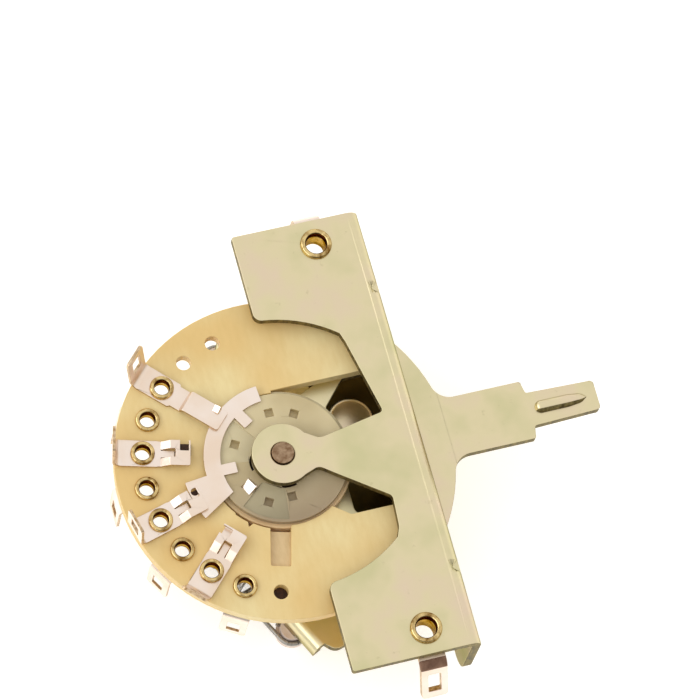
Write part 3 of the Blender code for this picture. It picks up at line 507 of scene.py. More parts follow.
def pushEdge(shape, edge, way):
    made = bmesh.ops.extrude_edge_only(shape, edges=[edge])["geom"]
    points = pickVerts(made)
    bmesh.ops.translate(shape, verts=points, vec=Vector(way) * mm)
    return [item for item in pickEdges(made) if set(item.verts) == set(points)][0]


def thickenFlat(shape, thickness):
    made = bmesh.ops.extrude_face_region(shape, geom=shape.faces[:])["geom"]
    bmesh.ops.translate(shape, verts=pickVerts(made), vec=(0, 0, thickness * mm))
    bmesh.ops.recalc_face_normals(shape, faces=shape.faces)


# A line just inside a flat part keeps that part flat when the sheet gets its thickness.
def holdFlat(shape, point, normal):
    bmesh.ops.bisect_plane(shape, geom=shape.verts[:] + shape.edges[:] + shape.faces[:], dist=0.25 * tiny,
                           plane_co=Vector(point) * mm, plane_no=normal)


def paintFaces(shape, index):
    for face in shape.faces:
        face.material_index = index


# Side walls of a thickened drawing get the rim material, which is the second of the piece.
def paintWalls(shape):
    for face in shape.faces:
        if abs(face.normal.z) < 0.5:
            face.material_index = 1


def turnRound(shape, steps):
    bmesh.ops.spin(shape, geom=shape.verts[:] + shape.edges[:], cent=(0, 0, 0), axis=(0, 1, 0),
                   angle=math.tau, steps=steps, use_merge=True)
    bmesh.ops.remove_doubles(shape, verts=shape.verts, dist=tiny)


# A solid of revolution. The path is drawn as (radius, Y) and turned about a line along Y.
def turnedShape(path, centre, steps=64):
    shape = bmesh.new()
    drawLoop(shape, path)
    turnRound(shape, steps)
    bmesh.ops.translate(shape, verts=shape.verts, vec=(centre[0] * mm, 0, centre[1] * mm))
    return shape


def placePiece(name, data, materials, body, node):
    piece = addObject(name, data)
    for material in materials:
        data.materials.append(material)
    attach(piece, body)
    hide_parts(node)
    return piece


# A sheet gets its thickness and rim here, and rounding breaks the sharp edges.
def finishPiece(name, shape, materials, body, node, sheet=0.0, rounding=0.0):
    bmesh.ops.remove_doubles(shape, verts=shape.verts, dist=tiny)
    bmesh.ops.recalc_face_normals(shape, faces=shape.faces)
    piece = placePiece(name, meshOf(name, shape), materials, body, node)
    if sheet:
        thick = piece.modifiers.new("sheet", "SOLIDIFY")
        thick.thickness = sheet * mm
        thick.offset = 0
        thick.use_even_offset = True
        thick.material_offset_rim = 1
    if rounding:
        edges = piece.modifiers.new("rounding", "BEVEL")
        edges.width = rounding * mm
        edges.segments = 2
        edges.limit_method = "ANGLE"
        edges.angle_limit = math.radians(40)
        edges.use_clamp_overlap = False
        edges.harden_normals = False
    return piece


def smoothPiece(name, shape, materials, body, node, angle=35):
    piece = finishPiece(name, shape, materials, body, node)
    piece.data.shade_smooth()
    piece.data.set_sharp_from_angle(angle=math.radians(angle))
    return piece


# Frame: one sheet with a front flange, a rear arm and two lugs for the spring

frameSizes = {
    "length": 53.3,
    "depth": 11.2,
    "sheet": 1.1,
    "bend": 0.9,
    "tabDrop": 15.2,
    "tabArc": 16.1,
    "tabCorner": 0.3,
    "tabRounding": 3.0,
    "upperWindow": [(-11.4, -5.7, 1.6), (-2.3, -3.7, 0.4), (-0.85, -11.6, 1.2)],
    "lowerWindow": [(2.4, -12.6, 0.9), (3.9, -10.6, 1.2), (7.7, -5.35, 0.7), (11.4, -5.6, 1.6)],
    "eye": 3.55,
    "rearEye": 4.2,
    "rearArmTop": 17.4,
    "rearArmSide": (21.2, -14.6, 1.5),
    "rearArmFoot": [(11.5, -14.6, 3.0), (4.6, -14.2, 1.5)],
    "relief": 0.7,
    "reliefDepth": 0.2,
    "slotHalf": 14.352,
    "slotWidth": 2.4,
    "slotShift": -0.5,
    "screwX": 20.651,
    "screwHole": 1.75,
    "plateCorner": 2.0,
    "eyeletX": 23.65,
    "eyeletDrop": 5.85,
    "eyeletHole": 1.53,
    "journalHole": 1.36,
    "shaftHole": 1.46,
    "dentX": 17.25,
    "dentWidth": 1.7,
    "dentDepth": 0.85,
    "holdMargin": 0.03,
    "edgeRounding": 0.09,
}
lugSizes = {"x": 16.8, "drop": 18.25, "tilt": 26.0, "finger": 1.7, "neck": 0.4, "base": 4.15,
            "baseRise": 0.75, "rise": 3.1}
armBoss = {"x": -4.9, "z": -5.7, "radius": 2.9, "top": 2.55, "front": 3.3}

sheetMiddle = -frameSizes["sheet"] / 2
wallMiddle = frameSizes["depth"] / 2 + sheetMiddle      # distance of the flange's and the arm's sheet
flatHalf = wallMiddle - frameSizes["bend"]              # the plate is flat up to here
wallTop = sheetMiddle - frameSizes["bend"]              # the flange and the arm are flat below this
frameEyelets = {side: (side * frameSizes["eyeletX"], -frameSizes["eyeletDrop"]) for side in (-1, 1)}


def mountingPlate():
    s = frameSizes
    half = s["length"] / 2
    back = s["depth"] / 2
    outer = s["rearArmTop"] + s["relief"]
    inner = flatHalf - s["reliefDepth"]
    right = [(half, -flatHalf), (half, back, s["plateCorner"]), (outer, back), (outer, inner),
             (s["rearArmTop"], inner), (s["rearArmTop"], flatHalf)]
    end = s["slotHalf"] - s["slotWidth"] / 2
    middle = s["slotShift"]
    slot = [(end, middle - s["slotWidth"] / 2), ("round", end, middle, 180),
            (-end, middle + s["slotWidth"] / 2), ("round", -end, middle, 180)]
    screws = [circle((side * s["screwX"], 0), s["screwHole"], 48) for side in (-1, 1)]
    return flatShape(right + mirrored(right), slot, *screws, fewFaces=True)


def frontFlange():
    s = frameSizes
    half = s["length"] / 2
    upperTab = [(-half, wallTop), (-half, -s["tabDrop"], s["tabCorner"]),
                (-s["tabArc"], -s["tabDrop"], s["tabRounding"])]
    path = [*upperTab, polarPoint(s["tabArc"], -100), ("round", *pivot, -29), *s["upperWindow"],
            polarPoint(s["eye"], 213), ("round", *pivot, 269), *s["lowerWindow"],
            polarPoint(s["tabArc"], 129), ("round", *pivot, -29), *mirrored(upperTab)]
    eyelets = [circle(centre, s["eyeletHole"]) for centre in frameEyelets.values()]
    return flatShape(path, *eyelets, circle(pivot, s["journalHole"]), fewFaces=True)


# Place on the rear arm, measured from the foot of a lug along its fold and away from the arm.
def lugPoint(sideways, rise):
    tilt = math.radians(lugSizes["tilt"])
    away = rise - frameSizes["bend"]
    x = lugSizes["x"] + sideways * math.cos(tilt) + away * math.sin(tilt)
    drop = lugSizes["drop"] - sideways * math.sin(tilt) + away * math.cos(tilt)
    return x, -drop


def rearArm():
    s = frameSizes
    finger = lugSizes["finger"] / 2
    right = [(s["rearArmTop"], wallTop), s["rearArmSide"], lugPoint(lugSizes["base"], 0),
             lugPoint(-finger, 0), lugPoint(-finger, -lugSizes["neck"]), *s["rearArmFoot"]]
    path = right + [polarPoint(s["rearEye"], 102), ("round", *pivot, -204)] + mirrored(right)
    return flatShape(path, circle(pivot, s["shaftHole"]), fewFaces=True)


def springLug():
    finger = lugSizes["finger"] / 2
    base = lugSizes["baseRise"]
    tip = base + lugSizes["rise"]
    return flatShape([(-finger, 0), (lugSizes["base"], 0), (lugSizes["base"], base, 0.5), (finger, base, 0.2),
                      (finger, tip, 0.3), (-finger, tip, 0.3)])


# A short V pressed across the front fold: the middle line of the V moves into the bend.
def pressDent(shape, x):
    s = frameSizes
    for step in (-s["dentWidth"] / 2, 0, s["dentWidth"] / 2):
        bent = [face for face in shape.faces if face.calc_center_median().y < -flatHalf * mm
                and face.calc_center_median().z > wallTop * mm]
        edges = list({edge for face in bent for edge in face.edges})
        points = list({point for face in bent for point in face.verts})
        bmesh.ops.bisect_plane(shape, geom=points + edges + bent, dist=0.25 * tiny,
                               plane_co=((x + step) * mm, 0, 0), plane_no=(1, 0, 0))
    for point in shape.verts:
        if abs(point.co.x - x * mm) < 0.01 * mm and point.co.y < -flatHalf * mm and point.co.z > wallTop * mm:
            out = Vector((0, point.co.y + flatHalf * mm, point.co.z - wallTop * mm)).normalized()
            share = math.sin(2 * math.atan2(out.z, -out.y))
            point.co -= out * s["dentDepth"] * share * mm


def addSpringLug(shape, side):
    bend = frameSizes["bend"]
    tilt = math.radians(lugSizes["tilt"])
    inner = lugPoint(-lugSizes["finger"] / 2, 0)
    outer = lugPoint(lugSizes["base"], 0)
    ends = [(side * x, wallMiddle, z) for x, z in (inner, outer)]
    along = (side * (outer[0] - inner[0]), 0, outer[1] - inner[1])
    hinge = (side * inner[0], wallMiddle + bend, inner[1])
    foldEdge(shape, edgeBetween(shape, *ends), hinge, along, side * 90)
    foot = shift(side * lugSizes["x"], wallMiddle + bend, -lugSizes["drop"])
    axes = Matrix(((side * math.cos(tilt), 0, -math.sin(tilt)), (0, 1, 0),
                   (math.sin(tilt), 0, side * math.cos(tilt)))).to_4x4()
    joinShape(shape, springLug(), foot @ axes)


def makeFrame():
    s = frameSizes
    margin = s["holdMargin"]
    shape = bmesh.new()
    joinShape(shape, mountingPlate(), shift(z=sheetMiddle))
    for side, reach in ((-1, s["length"] / 2), (1, s["rearArmTop"])):
        ends = [(x, side * flatHalf, sheetMiddle) for x in (-reach, reach)]
        foldEdge(shape, edgeBetween(shape, *ends), (0, side * flatHalf, wallTop), (1, 0, 0), -side * 90)
    for side, wall in ((-1, frontFlange), (1, rearArm)):
        joinShape(shape, wall(), stoodAt(side * wallMiddle))
    for side in (-1, 1):
        addSpringLug(shape, side)
    bmesh.ops.remove_doubles(shape, verts=shape.verts, dist=tiny)
    for side in (-1, 1):
        pressDent(shape, side * s["dentX"])
    holdFlat(shape, (0, 0, wallTop - margin), (0, 0, 1))
    for side in (-1, 1):
        holdFlat(shape, (0, side * (flatHalf - margin), 0), (0, 1, 0))
    holdFlat(shape, (0, wallMiddle + s["bend"] + margin, 0), (0, 1, 0))
    finishPiece("foldedFrame", shape, [zincSheet, zincEdgeAndShade], "frame", "frame", s["sheet"],
                s["edgeRounding"])


# A round spot pressed forward in the rear arm, seen through the upper window of the flange.
def makeArmBoss():
    s = armBoss
    back = levels["armFront"] - 0.05
    path = [(0, back), (s["radius"], back, 0.1), (s["top"], s["front"] + 0.3, 0.5), (0, s["front"])]
    boss = turnedShape(path, (s["x"], s["z"]), 48)
    smoothPiece("rearArmBoss", boss, [zincSheet], "frame", "frame", 60)


makeFrame()
makeArmBoss()
print("frame folded")


# Lever: flat stamping with a pressed rib near its tip

leverSizes = {
    "sheet": 1.2,
    "hub": 5.6,
    "hubTurn": 80,
    "waist": (8.6, -9.6, 5.0),
    "head": 20.4,
    "halfAngle": 36.0,
    "neck": 7.1,
    "neckTop": 13.7,
    "neckCorner": 0.3,
    "shoulder": 0.3,
    "shoulderCorner": 0.25,
    "fillet": 2.3,
    "tip": 4.1,
    "tipEnd": 3.6,
    "tipCorner": 0.5,
    "top": 22.1,
    "ribRadius": 0.75,
    "ribStart": 15.3,
    "ribEnd": 20.9,
    "ribFade": 2.4,
    "ribSink": 0.04,
    "shaftHole": 1.43,
    "opening": [(-5.6, -9.1, 0.6), (7.1, -9.1, 0.6), (8.6, -7.8, 0.6), (8.6, -2.6, 0.8), (-8.6, -2.6, 0.8),
                (-8.6, -6.3, 0.6)],
    "edgeRounding": 0.08,
}


def leverOutline():
    s = leverSizes
    reach = s["head"] + s["fillet"]
    filletAngle = math.degrees(math.asin((s["neck"] / 2 + s["fillet"]) / reach))
    filletCentre = (s["neck"] / 2 + s["fillet"], pivot[1] + reach * math.cos(math.radians(filletAngle)))
    path = [(0, pivot[1] - s["hub"]), ("round", *pivot, s["hubTurn"]), s["waist"],
            polarPoint(s["head"], 180 - s["halfAngle"]), ("round", *pivot, s["halfAngle"] - filletAngle),
            ("round", *filletCentre, -(90 - filletAngle)), (s["neck"] / 2, s["neckTop"], s["neckCorner"]),
            (s["tip"] / 2, s["neckTop"] + s["shoulder"], s["shoulderCorner"]),
            (s["tipEnd"] / 2, s["top"], s["tipCorner"]), (0, s["top"])]
    shape = bmesh.new()
    drawLoop(shape, path)
    openAt(shape, (0, pivot[1] - s["hub"], 0), (0, s["top"], 0))
    bmesh.ops.mirror(shape, geom=shape.verts[:] + shape.edges[:], axis="X", merge_dist=tiny)
    drawLoop(shape, circle(pivot, s["shaftHole"]))
    drawLoop(shape, s["opening"])
    fillOutline(shape)
    return shape


# The rib is a turned half of a long drop. Its lower flank gets the darker edge colour as painted shade.
def pressedRib():
    s = leverSizes
    radius = s["ribRadius"]
    shape = bmesh.new()
    drawLoop(shape, [(0, s["ribEnd"]), (radius * 0.75, s["ribEnd"] - s["ribFade"] / 3, 1.0),
                     (radius, s["ribEnd"] - s["ribFade"], 3.0), (radius, s["ribStart"]),
                     ("round", 0, s["ribStart"], -90)])
    openAt(shape, (0, s["ribEnd"], 0), (0, s["ribStart"] - radius, 0))
    turnRound(shape, 36)
    shape.transform(stoodAt(levels["leverFront"] + s["ribSink"]))
    bmesh.ops.recalc_face_normals(shape, faces=shape.faces)
    for face in shape.faces:
        if face.normal.x > 0.45:
            face.material_index = 1
    data = meshOf("rib", shape)
    for material in (zincSheet, zincEdgeAndShade):
        data.materials.append(material)
    return addObject("rib", data)


def makeLever():
    s = leverSizes
    shape = leverOutline()
    thickenFlat(shape, s["sheet"])
    paintWalls(shape)
    shape.transform(stoodAt(levels["leverBack"]))
    piece = finishPiece("leverBlade", shape, [zincSheet, zincEdgeAndShade], "lever", "lever",
                        rounding=s["edgeRounding"])
    stamp = pressedRib()
    union = piece.modifiers.new("rib", "BOOLEAN")
    union.operation = "UNION"
    union.object = stamp
    bpy.context.view_layer.update()
    done = bpy.data.meshes.new_from_object(piece.evaluated_get(bpy.context.evaluated_depsgraph_get()))
    piece.modifiers.clear()
    piece.data = done
    bpy.data.objects.remove(stamp)


makeLever()
print("lever stamped")


# Contact board

boardSizes = {
    "radius": 19.05,
    "hole": 7.95,
    "holeEnd": 122,
    "slotRise": 0.12,      # of the hole's radius
    "wideHole": 8.4,
    "wideTurn": 37,
    "firstStep": ((0.15, 38), (0.12, 40)),      # how far outside the wide hole, angle
    "ledgeTurn": 9,
    "lastStep": ((0.6, 51), (0, 53)),
    "slot": 8.2,
    "slotLip": 1.9,
    "topDrop": 2.0,
    "earX": 25.7,
    "earDrop": 14.2,
    "earCorner": 2.0,
    "notchAngle": 75.0,
    "notchWidth": 2.3,
    "notchDepth": 4.8,
    "notchCorner": 0.2,
    "webThickness": 0.95,
    "webStart": 0.6,
    "webRaise": 0.1,
    "terminalHole": 1.15,
    "spareHole": 0.85,
    "blindDepth": 0.3,
    "edgeRounding": 0.06,
}
terminalAngles = [-45 + 15 * i for i in range(8)]
spareAngles = (-75, -60, 75)
terminalRadius = 15.8


# The round hole is wider below, with small steps where the wide part starts and ends.
def boardOutline():
    s = boardSizes
    ear = math.degrees(math.acos((s["earDrop"] + pivot[1]) / s["radius"]))
    holeStart = -math.degrees(math.acos(-s["slotRise"]))
    notch = s["notchAngle"]
    notchHalf = math.degrees(math.asin(s["notchWidth"] / 2 / s["hole"]))
    left = polarPoint(s["hole"], holeStart)
    inner = s["hole"] + s["notchDepth"]
    wide = s["wideHole"]
    ears = [(s["earX"], -s["topDrop"]), (s["earX"], -s["earDrop"], s["earCorner"])]
    return [(s["slot"], -s["topDrop"]), *ears, polarPoint(s["radius"], ear), ("round", *pivot, -2 * ear),
            *mirrored(ears), (-s["slot"], -s["topDrop"]), (-s["slot"], left[1]), left,
            ("round", *pivot, -holeStart), polarPoint(wide, 0), ("round", *pivot, s["wideTurn"]),
            *[polarPoint(wide + out, angle) for out, angle in s["firstStep"]],
            ("round", *pivot, s["ledgeTurn"]),
            *[polarPoint(wide + out, angle) for out, angle in s["lastStep"]],
            ("round", *pivot, notch - notchHalf - s["lastStep"][-1][1]),
            (*polarPoint(inner, notch, -s["notchWidth"] / 2), s["notchCorner"]),
            (*polarPoint(inner, notch, s["notchWidth"] / 2), s["notchCorner"]),
            polarPoint(s["hole"], notch + notchHalf),
            ("round", *pivot, s["holeEnd"] - notch - notchHalf),
            (s["slot"], polarPoint(s["hole"], s["holeEnd"])[1] + s["slotLip"])]


# A thin web of board closes the back of the notch. Its darker board colour is painted shade.
def notchWeb():
    s = boardSizes
    near = s["hole"] + s["webStart"]
    far = s["hole"] + s["notchDepth"] + 0.02
    half = s["notchWidth"] / 2 + 0.02
    web = flatShape([polarPoint(near, s["notchAngle"], -half), polarPoint(far, s["notchAngle"], -half),
                     polarPoint(far, s["notchAngle"], half), polarPoint(near, s["notchAngle"], half)])
    thickenFlat(web, s["webThickness"])
    paintFaces(web, 2)
    return web


# One spare hole doesn't go through: a plate closes its back, painted dark as painted shade in the hole.
def blindPlate():
    s = boardSizes
    radius = s["spareHole"] + 0.02
    back = levels["waferBack"] - 0.02
    front = levels["waferBack"] - s["blindDepth"]
    plate = turnedShape([(0, back), (radius, back), (radius, front), (0, front)],
                        polarPoint(terminalRadius, spareAngles[-1]), 32)
    paintFaces(plate, 1)
    return plate


def makeBoard():
    s = boardSizes
    holes = [circle(polarPoint(terminalRadius, angle), s["terminalHole"]) for angle in terminalAngles]
    holes += [circle(polarPoint(terminalRadius, angle), s["spareHole"]) for angle in spareAngles]
    holes += [circle(centre, frameSizes["eyeletHole"]) for centre in frameEyelets.values()]
    shape = flatShape(boardOutline(), *holes)
    thickenFlat(shape, levels["waferBack"] - levels["waferFront"])
    joinShape(shape, notchWeb(), shift(z=s["webRaise"]))
    shape.transform(stoodAt(levels["waferBack"]))
    joinShape(shape, blindPlate())
    materials = [boardPaper, darkShade, webShadePaper]
    finishPiece("contactBoard", shape, materials, "frame", "stator_wafer",
                rounding=s["edgeRounding"])


makeBoard()
print("contact board punched")


# Terminals: strip, solder lug with a wire slot, and a jaw or a finger that reaches the rotor

stripSizes = {
    "thickness": 0.35,
    "width": 3.1,
    "lugFold": 18.1,
    "lugBend": 1.0,
    "lugLength": 4.5,
    "lugCorner": 0.5,
    "slotWidth": 1.5,
    "slotLength": 2.6,
    "slotEdge": 1.0,
    "slotCorner": 0.15,
    "jawStart": 14.2,
    "taper": 0.2,
    "root": 13.75,
    "jawWidth": 3.0,
    "jawPlate": 12.45,
    "jawEnd": 10.4,
    "jawTongue": 0.35,
    "leaf": 1.0,
    "leafCut": 0.08,
    "leafSlope": 36,
    "leafBend": 0.2,
    "under": 0.3,      # how far the strip runs on under the jaw plate
    "lowerLeaf": (0.4, 0.05, 0.3, 0.1),      # in past the window, short of its side, past its ends, corner
    "jawWindow": (0.8, 11.1, 1.05, 1.0),      # centre, width and length
    "finger": 2.6,
    "fingerRoot": 12.9,
    "fingerEnd": 7.8,
    "fingerSlope": 72,
    "fingerBend": 0.3,
    "fingerCorner": 0.3,
    "squareCorner": 0.12,
    "square": (0.42, 8.65, 1.3, 9.5),
    "squareTilt": 30,
    "squareLift": 0.3,
    "lift": 0.76,
    "edgeRounding": 0.05,
}
lugLean = {-45: 10, -15: 3.5, 15: 3.5, 45: 20}      # degrees outward, by the angle of the terminal


def stripBody(common):
    s = stripSizes
    half = s["width"] / 2
    inner = (s["finger"] if common else s["jawWidth"]) / 2
    root = s["fingerRoot"] if common else s["root"]
    left = [(-half, s["lugFold"]), (-half, s["jawStart"]), (-inner, s["jawStart"] - s["taper"]),
            (-inner, root)]
    if not common:
        split = inner - s["leaf"]
        cut = s["leafCut"]
        left += [(-split, root), (-split + cut, root - cut), (-split + cut, s["jawPlate"] - s["under"])]
    return flatShape(left + mirrored(left), circle((0, terminalRadius), boardSizes["terminalHole"]))


def slottedTail(length, cornerRadius):
    s = stripSizes
    half = s["width"] / 2
    top = length - s["slotEdge"]
    return flatShape([(-half, 0), (half, 0), (half, length, cornerRadius), (-half, length, cornerRadius)],
                     rectangle(-s["slotWidth"] / 2, top - s["slotLength"], s["slotWidth"] / 2, top,
                               s["slotCorner"]))


# The strip steps up beside the rotor blade: a fold, a short ramp and a fold back.
def liftLeaf(shape, edge, root, bend, ramp, end):
    s = stripSizes
    slope = math.radians(ramp)
    rampLength = (s["lift"] - 2 * bend * (1 - math.cos(slope))) / math.sin(slope)
    edge = foldEdge(shape, edge, (0, root, bend), (1, 0, 0), -ramp, 9.0)
    edge = pushEdge(shape, edge, (0, -rampLength * math.cos(slope), rampLength * math.sin(slope)))
    run = 2 * bend * math.sin(slope) + rampLength * math.cos(slope)
    edge = foldEdge(shape, edge, (0, root - run, s["lift"] - bend), (1, 0, 0), ramp, 9.0)
    return pushEdge(shape, edge, (0, end - root + run, 0))


# The plate that joins the two leaves of a jaw, with a small open window over the lower leaf.
def jawPlate():
    s = stripSizes
    inner = s["jawWidth"] / 2
    split = inner - s["leaf"]
    tongue = s["jawPlate"] - s["jawTongue"]
    x, y, width, length = s["jawWindow"]
    top = s["jawPlate"]
    high = y + length / 2
    low = y - length / 2
    side = x - width / 2
    return flatShape([(-inner, top), (-split, top), (-split, tongue, 0.1), (split, tongue, 0.1), (split, top),
                      (inner, top), (inner, high, 0.06), (side, high, 0.1), (side, low, 0.1),
                      (inner, low, 0.06), (inner, s["jawEnd"]), (-inner, s["jawEnd"], 0.25)])


# The lower leaf lies in the plane of the strip, under the window. Two of the three are painted dark as
# painted shade.
def makeLowerLeaf(name, angle, place):
    x, y, width, length = stripSizes["jawWindow"]
    inside, short, past, corner = stripSizes["lowerLeaf"]
    shape = flatShape(rectangle(x - width / 2 - inside, y - length / 2 - past, x + width / 2 - short,
                                y + length / 2 + past, corner))
    shape.transform(place)
    surface = darkShade if abs(angle) == 15 else silverStrip
    finishPiece(name + "_lower_leaf", shape, [surface, surface], "frame", name,
                stripSizes["thickness"] - 0.05)


def addFinger(shape):
    s = stripSizes
    inner = s["finger"] / 2
    root = s["fingerRoot"]
    edge = edgeBetween(shape, (-inner, root, 0), (inner, root, 0))
    end = liftLeaf(shape, edge, root, s["fingerBend"], s["fingerSlope"], s["fingerEnd"])
    for point in list(end.verts):
        roundCorner(shape, point, s["fingerCorner"])
    x0, y0, x1, y1 = s["square"]
    centre = Vector(((x0 + x1) / 2, (y0 + y1) / 2, 0)) * mm
    tilt = Matrix.Rotation(math.radians(s["squareTilt"]), 4, Vector((-0.7071, -0.7071, 0)))
    lift = shift(z=s["lift"] + s["squareLift"]) @ Matrix.Translation(centre)
    square = flatShape(rectangle(*s["square"], s["squareCorner"]))
    joinShape(shape, square, lift @ tilt @ Matrix.Translation(-centre))


def addJaw(shape):
    s = stripSizes
    inner = s["jawWidth"] / 2
    for side in (-1, 1):
        edge = edgeBetween(shape, (side * inner, s["root"], 0), (side * (inner - s["leaf"]), s["root"], 0))
        liftLeaf(shape, edge, s["root"], s["leafBend"], s["leafSlope"], s["jawPlate"])
    joinShape(shape, jawPlate(), shift(z=s["lift"]))


def makeTerminal(name, angle, onFront, common):
    s = stripSizes
    shape = stripBody(common)
    half = s["width"] / 2
    lugEdge = edgeBetween(shape, (-half, s["lugFold"], 0), (half, s["lugFold"], 0))
    bend = math.radians(90 - lugLean.get(angle, 0))
    foldEdge(shape, lugEdge, (0, s["lugFold"], s["lugBend"]), (1, 0, 0), math.degrees(bend))
    foot = Vector((0, s["lugFold"] + s["lugBend"] * math.sin(bend), s["lugBend"] * (1 - math.cos(bend)))) * mm
    tail = slottedTail(s["lugLength"], s["lugCorner"])
    joinShape(shape, tail, Matrix.Translation(foot) @ Matrix.Rotation(bend, 4, "X"))
    if common:
        addFinger(shape)
    else:
        addJaw(shape)
    bmesh.ops.remove_doubles(shape, verts=shape.verts, dist=tiny)
    holdFlat(shape, (0, s["lugFold"] - 0.02, 0), (0, 1, 0))
    turn = Matrix.Rotation(math.radians(angle - 180), 4, "Z")
    over = Matrix.Identity(4) if onFront else Matrix.Rotation(math.pi, 4, "Y")
    proud = s["thickness"] / 2 + gap
    level = levels["waferFront"] - proud if onFront else levels["waferBack"] + proud
    place = shift(y=level, z=pivot[1]) @ standUp @ turn @ over
    shape.transform(place)
    finishPiece(name, shape, [silverStrip, stripRim], "frame", name, s["thickness"],
                s["edgeRounding"])
    if not common:
        makeLowerLeaf(name, angle, place)


# Eyelets: a tube with a rolled rim in front and a flared one behind

terminalEyelet = {"bore": 0.87, "tube": 1.12, "rim": 1.38, "height": 0.42}
frameEyelet = {"bore": 1.2, "tube": 1.5, "rim": 1.82, "height": 0.42}
eyeletForm = {"corner": 0.04, "flare": 0.12, "throatFront": 0.7, "throatBack": 0.5, "shadePast": 0.07,
              "shadeDepth": 0.6}


def makeEyelet(name, centre, near, far, sizes):
    bore, tube, rim, height = sizes.values()
    rise = height - (rim - bore) / 2
    s = eyeletForm
    path = [(bore, near - rise), ("round", (bore + rim) / 2, near - rise, 180), (rim, near, s["corner"]),
            (tube, near), (tube, far), (rim, far, s["corner"]), (rim, far + s["flare"]),
            ("round", (tube + rim) / 2, far + s["flare"], 180), (bore, far - s["throatBack"]),
            (bore, near + s["throatFront"])]
    shape = turnedShape(path, centre)
    # Faces of the bore near the front get the painted shade.
    for face in shape.faces:
        middle = face.calc_center_median() / mm
        out = math.hypot(middle.x - centre[0], middle.z - centre[1])
        if out < bore + s["shadePast"] and middle.y < near + s["shadeDepth"]:
            face.material_index = 1
    smoothPiece(name, shape, [eyeletBrass, eyeletBoreShade], "frame", name, 50)


def makeContacts():
    counts = {"front": 0, "rear": 0}
    strip = stripSizes["thickness"] + 2 * gap
    for i, angle in enumerate(terminalAngles):
        side = "rear" if i % 2 else "front"
        common = i in (0, 7)
        name = f"{side}_common_terminal"
        if not common:
            counts[side] += 1
            name = f"{side}_throw_terminal_{counts[side]}"
        makeTerminal(name, angle, side == "front", common)
        near = levels["waferFront"] - (strip if side == "front" else gap)
        far = levels["waferBack"] + (gap if side == "front" else strip)
        makeEyelet(f"terminal_eyelet_{i + 1}", polarPoint(terminalRadius, angle), near, far, terminalEyelet)
    for side, end in ((-1, "upper"), (1, "lower")):
        makeEyelet(f"frame_eyelet_{end}", frameEyelets[side], levels["flangeFront"] - gap,
                   levels["waferBack"] + 2 * gap, frameEyelet)


makeContacts()
print("terminals and eyelets made")


# Ground lugs between the flange and the board. The fold of the lower one has painted shade in brown.

groundSizes = {"thickness": 0.77, "width": 3.1, "eye": 2.45, "fold": 0.9, "tail": 4.4, "tailCorner": 0.4,
               "edgeRounding": 0.06}
groundLugs = {-1: ("ground_lug_upper", 84, 2.95, False), 1: ("ground_lug_lower", 60, 3.3, True)}


def makeGroundLug(side):
    s = groundSizes
    name, angle, straight, shadedFold = groundLugs[side]
    half = s["width"] / 2
    opening = math.asin(half / s["eye"])
    start = (-s["eye"] * math.sin(opening), s["eye"] * math.cos(opening))
    path = [(half, straight), (-half, straight), start, ("round", 0, 0, 360 - 2 * math.degrees(opening))]
    shape = flatShape(path, circle((0, 0), frameSizes["eyeletHole"]))
    edge = edgeBetween(shape, (-half, straight, 0), (half, straight, 0))
    foldEdge(shape, edge, (0, straight, -s["fold"]), (1, 0, 0), -angle)
    for face in shape.faces:
        # Painted shade on the fold of the lower lug.
        if shadedFold and face.calc_center_median().y > straight * mm:
            face.material_index = 2
    turn = math.radians(angle)
    foot = Vector((0, straight + s["fold"] * math.sin(turn), -s["fold"] * (1 - math.cos(turn)))) * mm
    tail = slottedTail(s["tail"], s["tailCorner"])
    joinShape(shape, tail, Matrix.Translation(foot) @ Matrix.Rotation(-turn, 4, "X"))
    x, z = frameEyelets[side]
    centre = Vector((x, levels["flangeBack"] + s["thickness"] / 2 + gap, z)) * mm
    quarter = Matrix.Rotation(-side * math.radians(90), 4, "Z")
    shape.transform(Matrix.Translation(centre) @ standUp @ quarter)
    finishPiece(name, shape, [silverStrip, stripRim, foldShade], "frame", name, s["thickness"],
                s["edgeRounding"])


for side in groundLugs:
    makeGroundLug(side)
print("ground lugs made")


# Rotor: nylon disc with sunk sectors, pockets, a window with a bright tab, and a thin skirt

rotorSizes = {
    "radius": 7.7,
    "bore": 1.43,
    "front": -4.12,
    "rear": -1.68,
    "pocket": 1.0,
    "pocketDepth": 0.7,
    "sectorInner": 3.75,
    "sectorOuter": 7.35,
    "sectorDepth": 0.14,
    "sectorCorner": 0.1,
    "squareCorner": 0.08,
    "gapDepth": 0.8,
    "window": 1.4,
    "windowRadius": 5.15,
    "windowAngle": 30,
    "tabThickness": 0.3,
    "tabLean": 28,
    "tabSink": 0.25,
    "skirt": 8.2,
    "skirtFront": -3.45,
    "skirtBack": -2.3,
    "skirtInset": 0.5,
    "skirtSlope": 0.15,
    "edgeRounding": 0.05,
}
pocketRadii = {-120: 5.5, -90: 5.5, -30: 5.5, 60: 5.5, 90: 4.75}      # radius by angle
sectorAngles = ((-52, -6), (39, 82))
hubGaps = ((76, 104, 3.15, 3.62), (-16, 12, 3.5, 3.74))      # start, end, inner and outer radius


def squarePath(centre, size, degrees):
    half = size / 2
    turn = math.radians(degrees)
    path = []
    for a, b in ((-half, -half), (half, -half), (half, half), (-half, half)):
        path.append((centre[0] + a * math.cos(turn) - b * math.sin(turn),
                     centre[1] + a * math.sin(turn) + b * math.cos(turn), rotorSizes["squareCorner"]))
    return path


def pocketPath(angle):
    return squarePath(polarPoint(pocketRadii[angle], angle), rotorSizes["pocket"], angle)


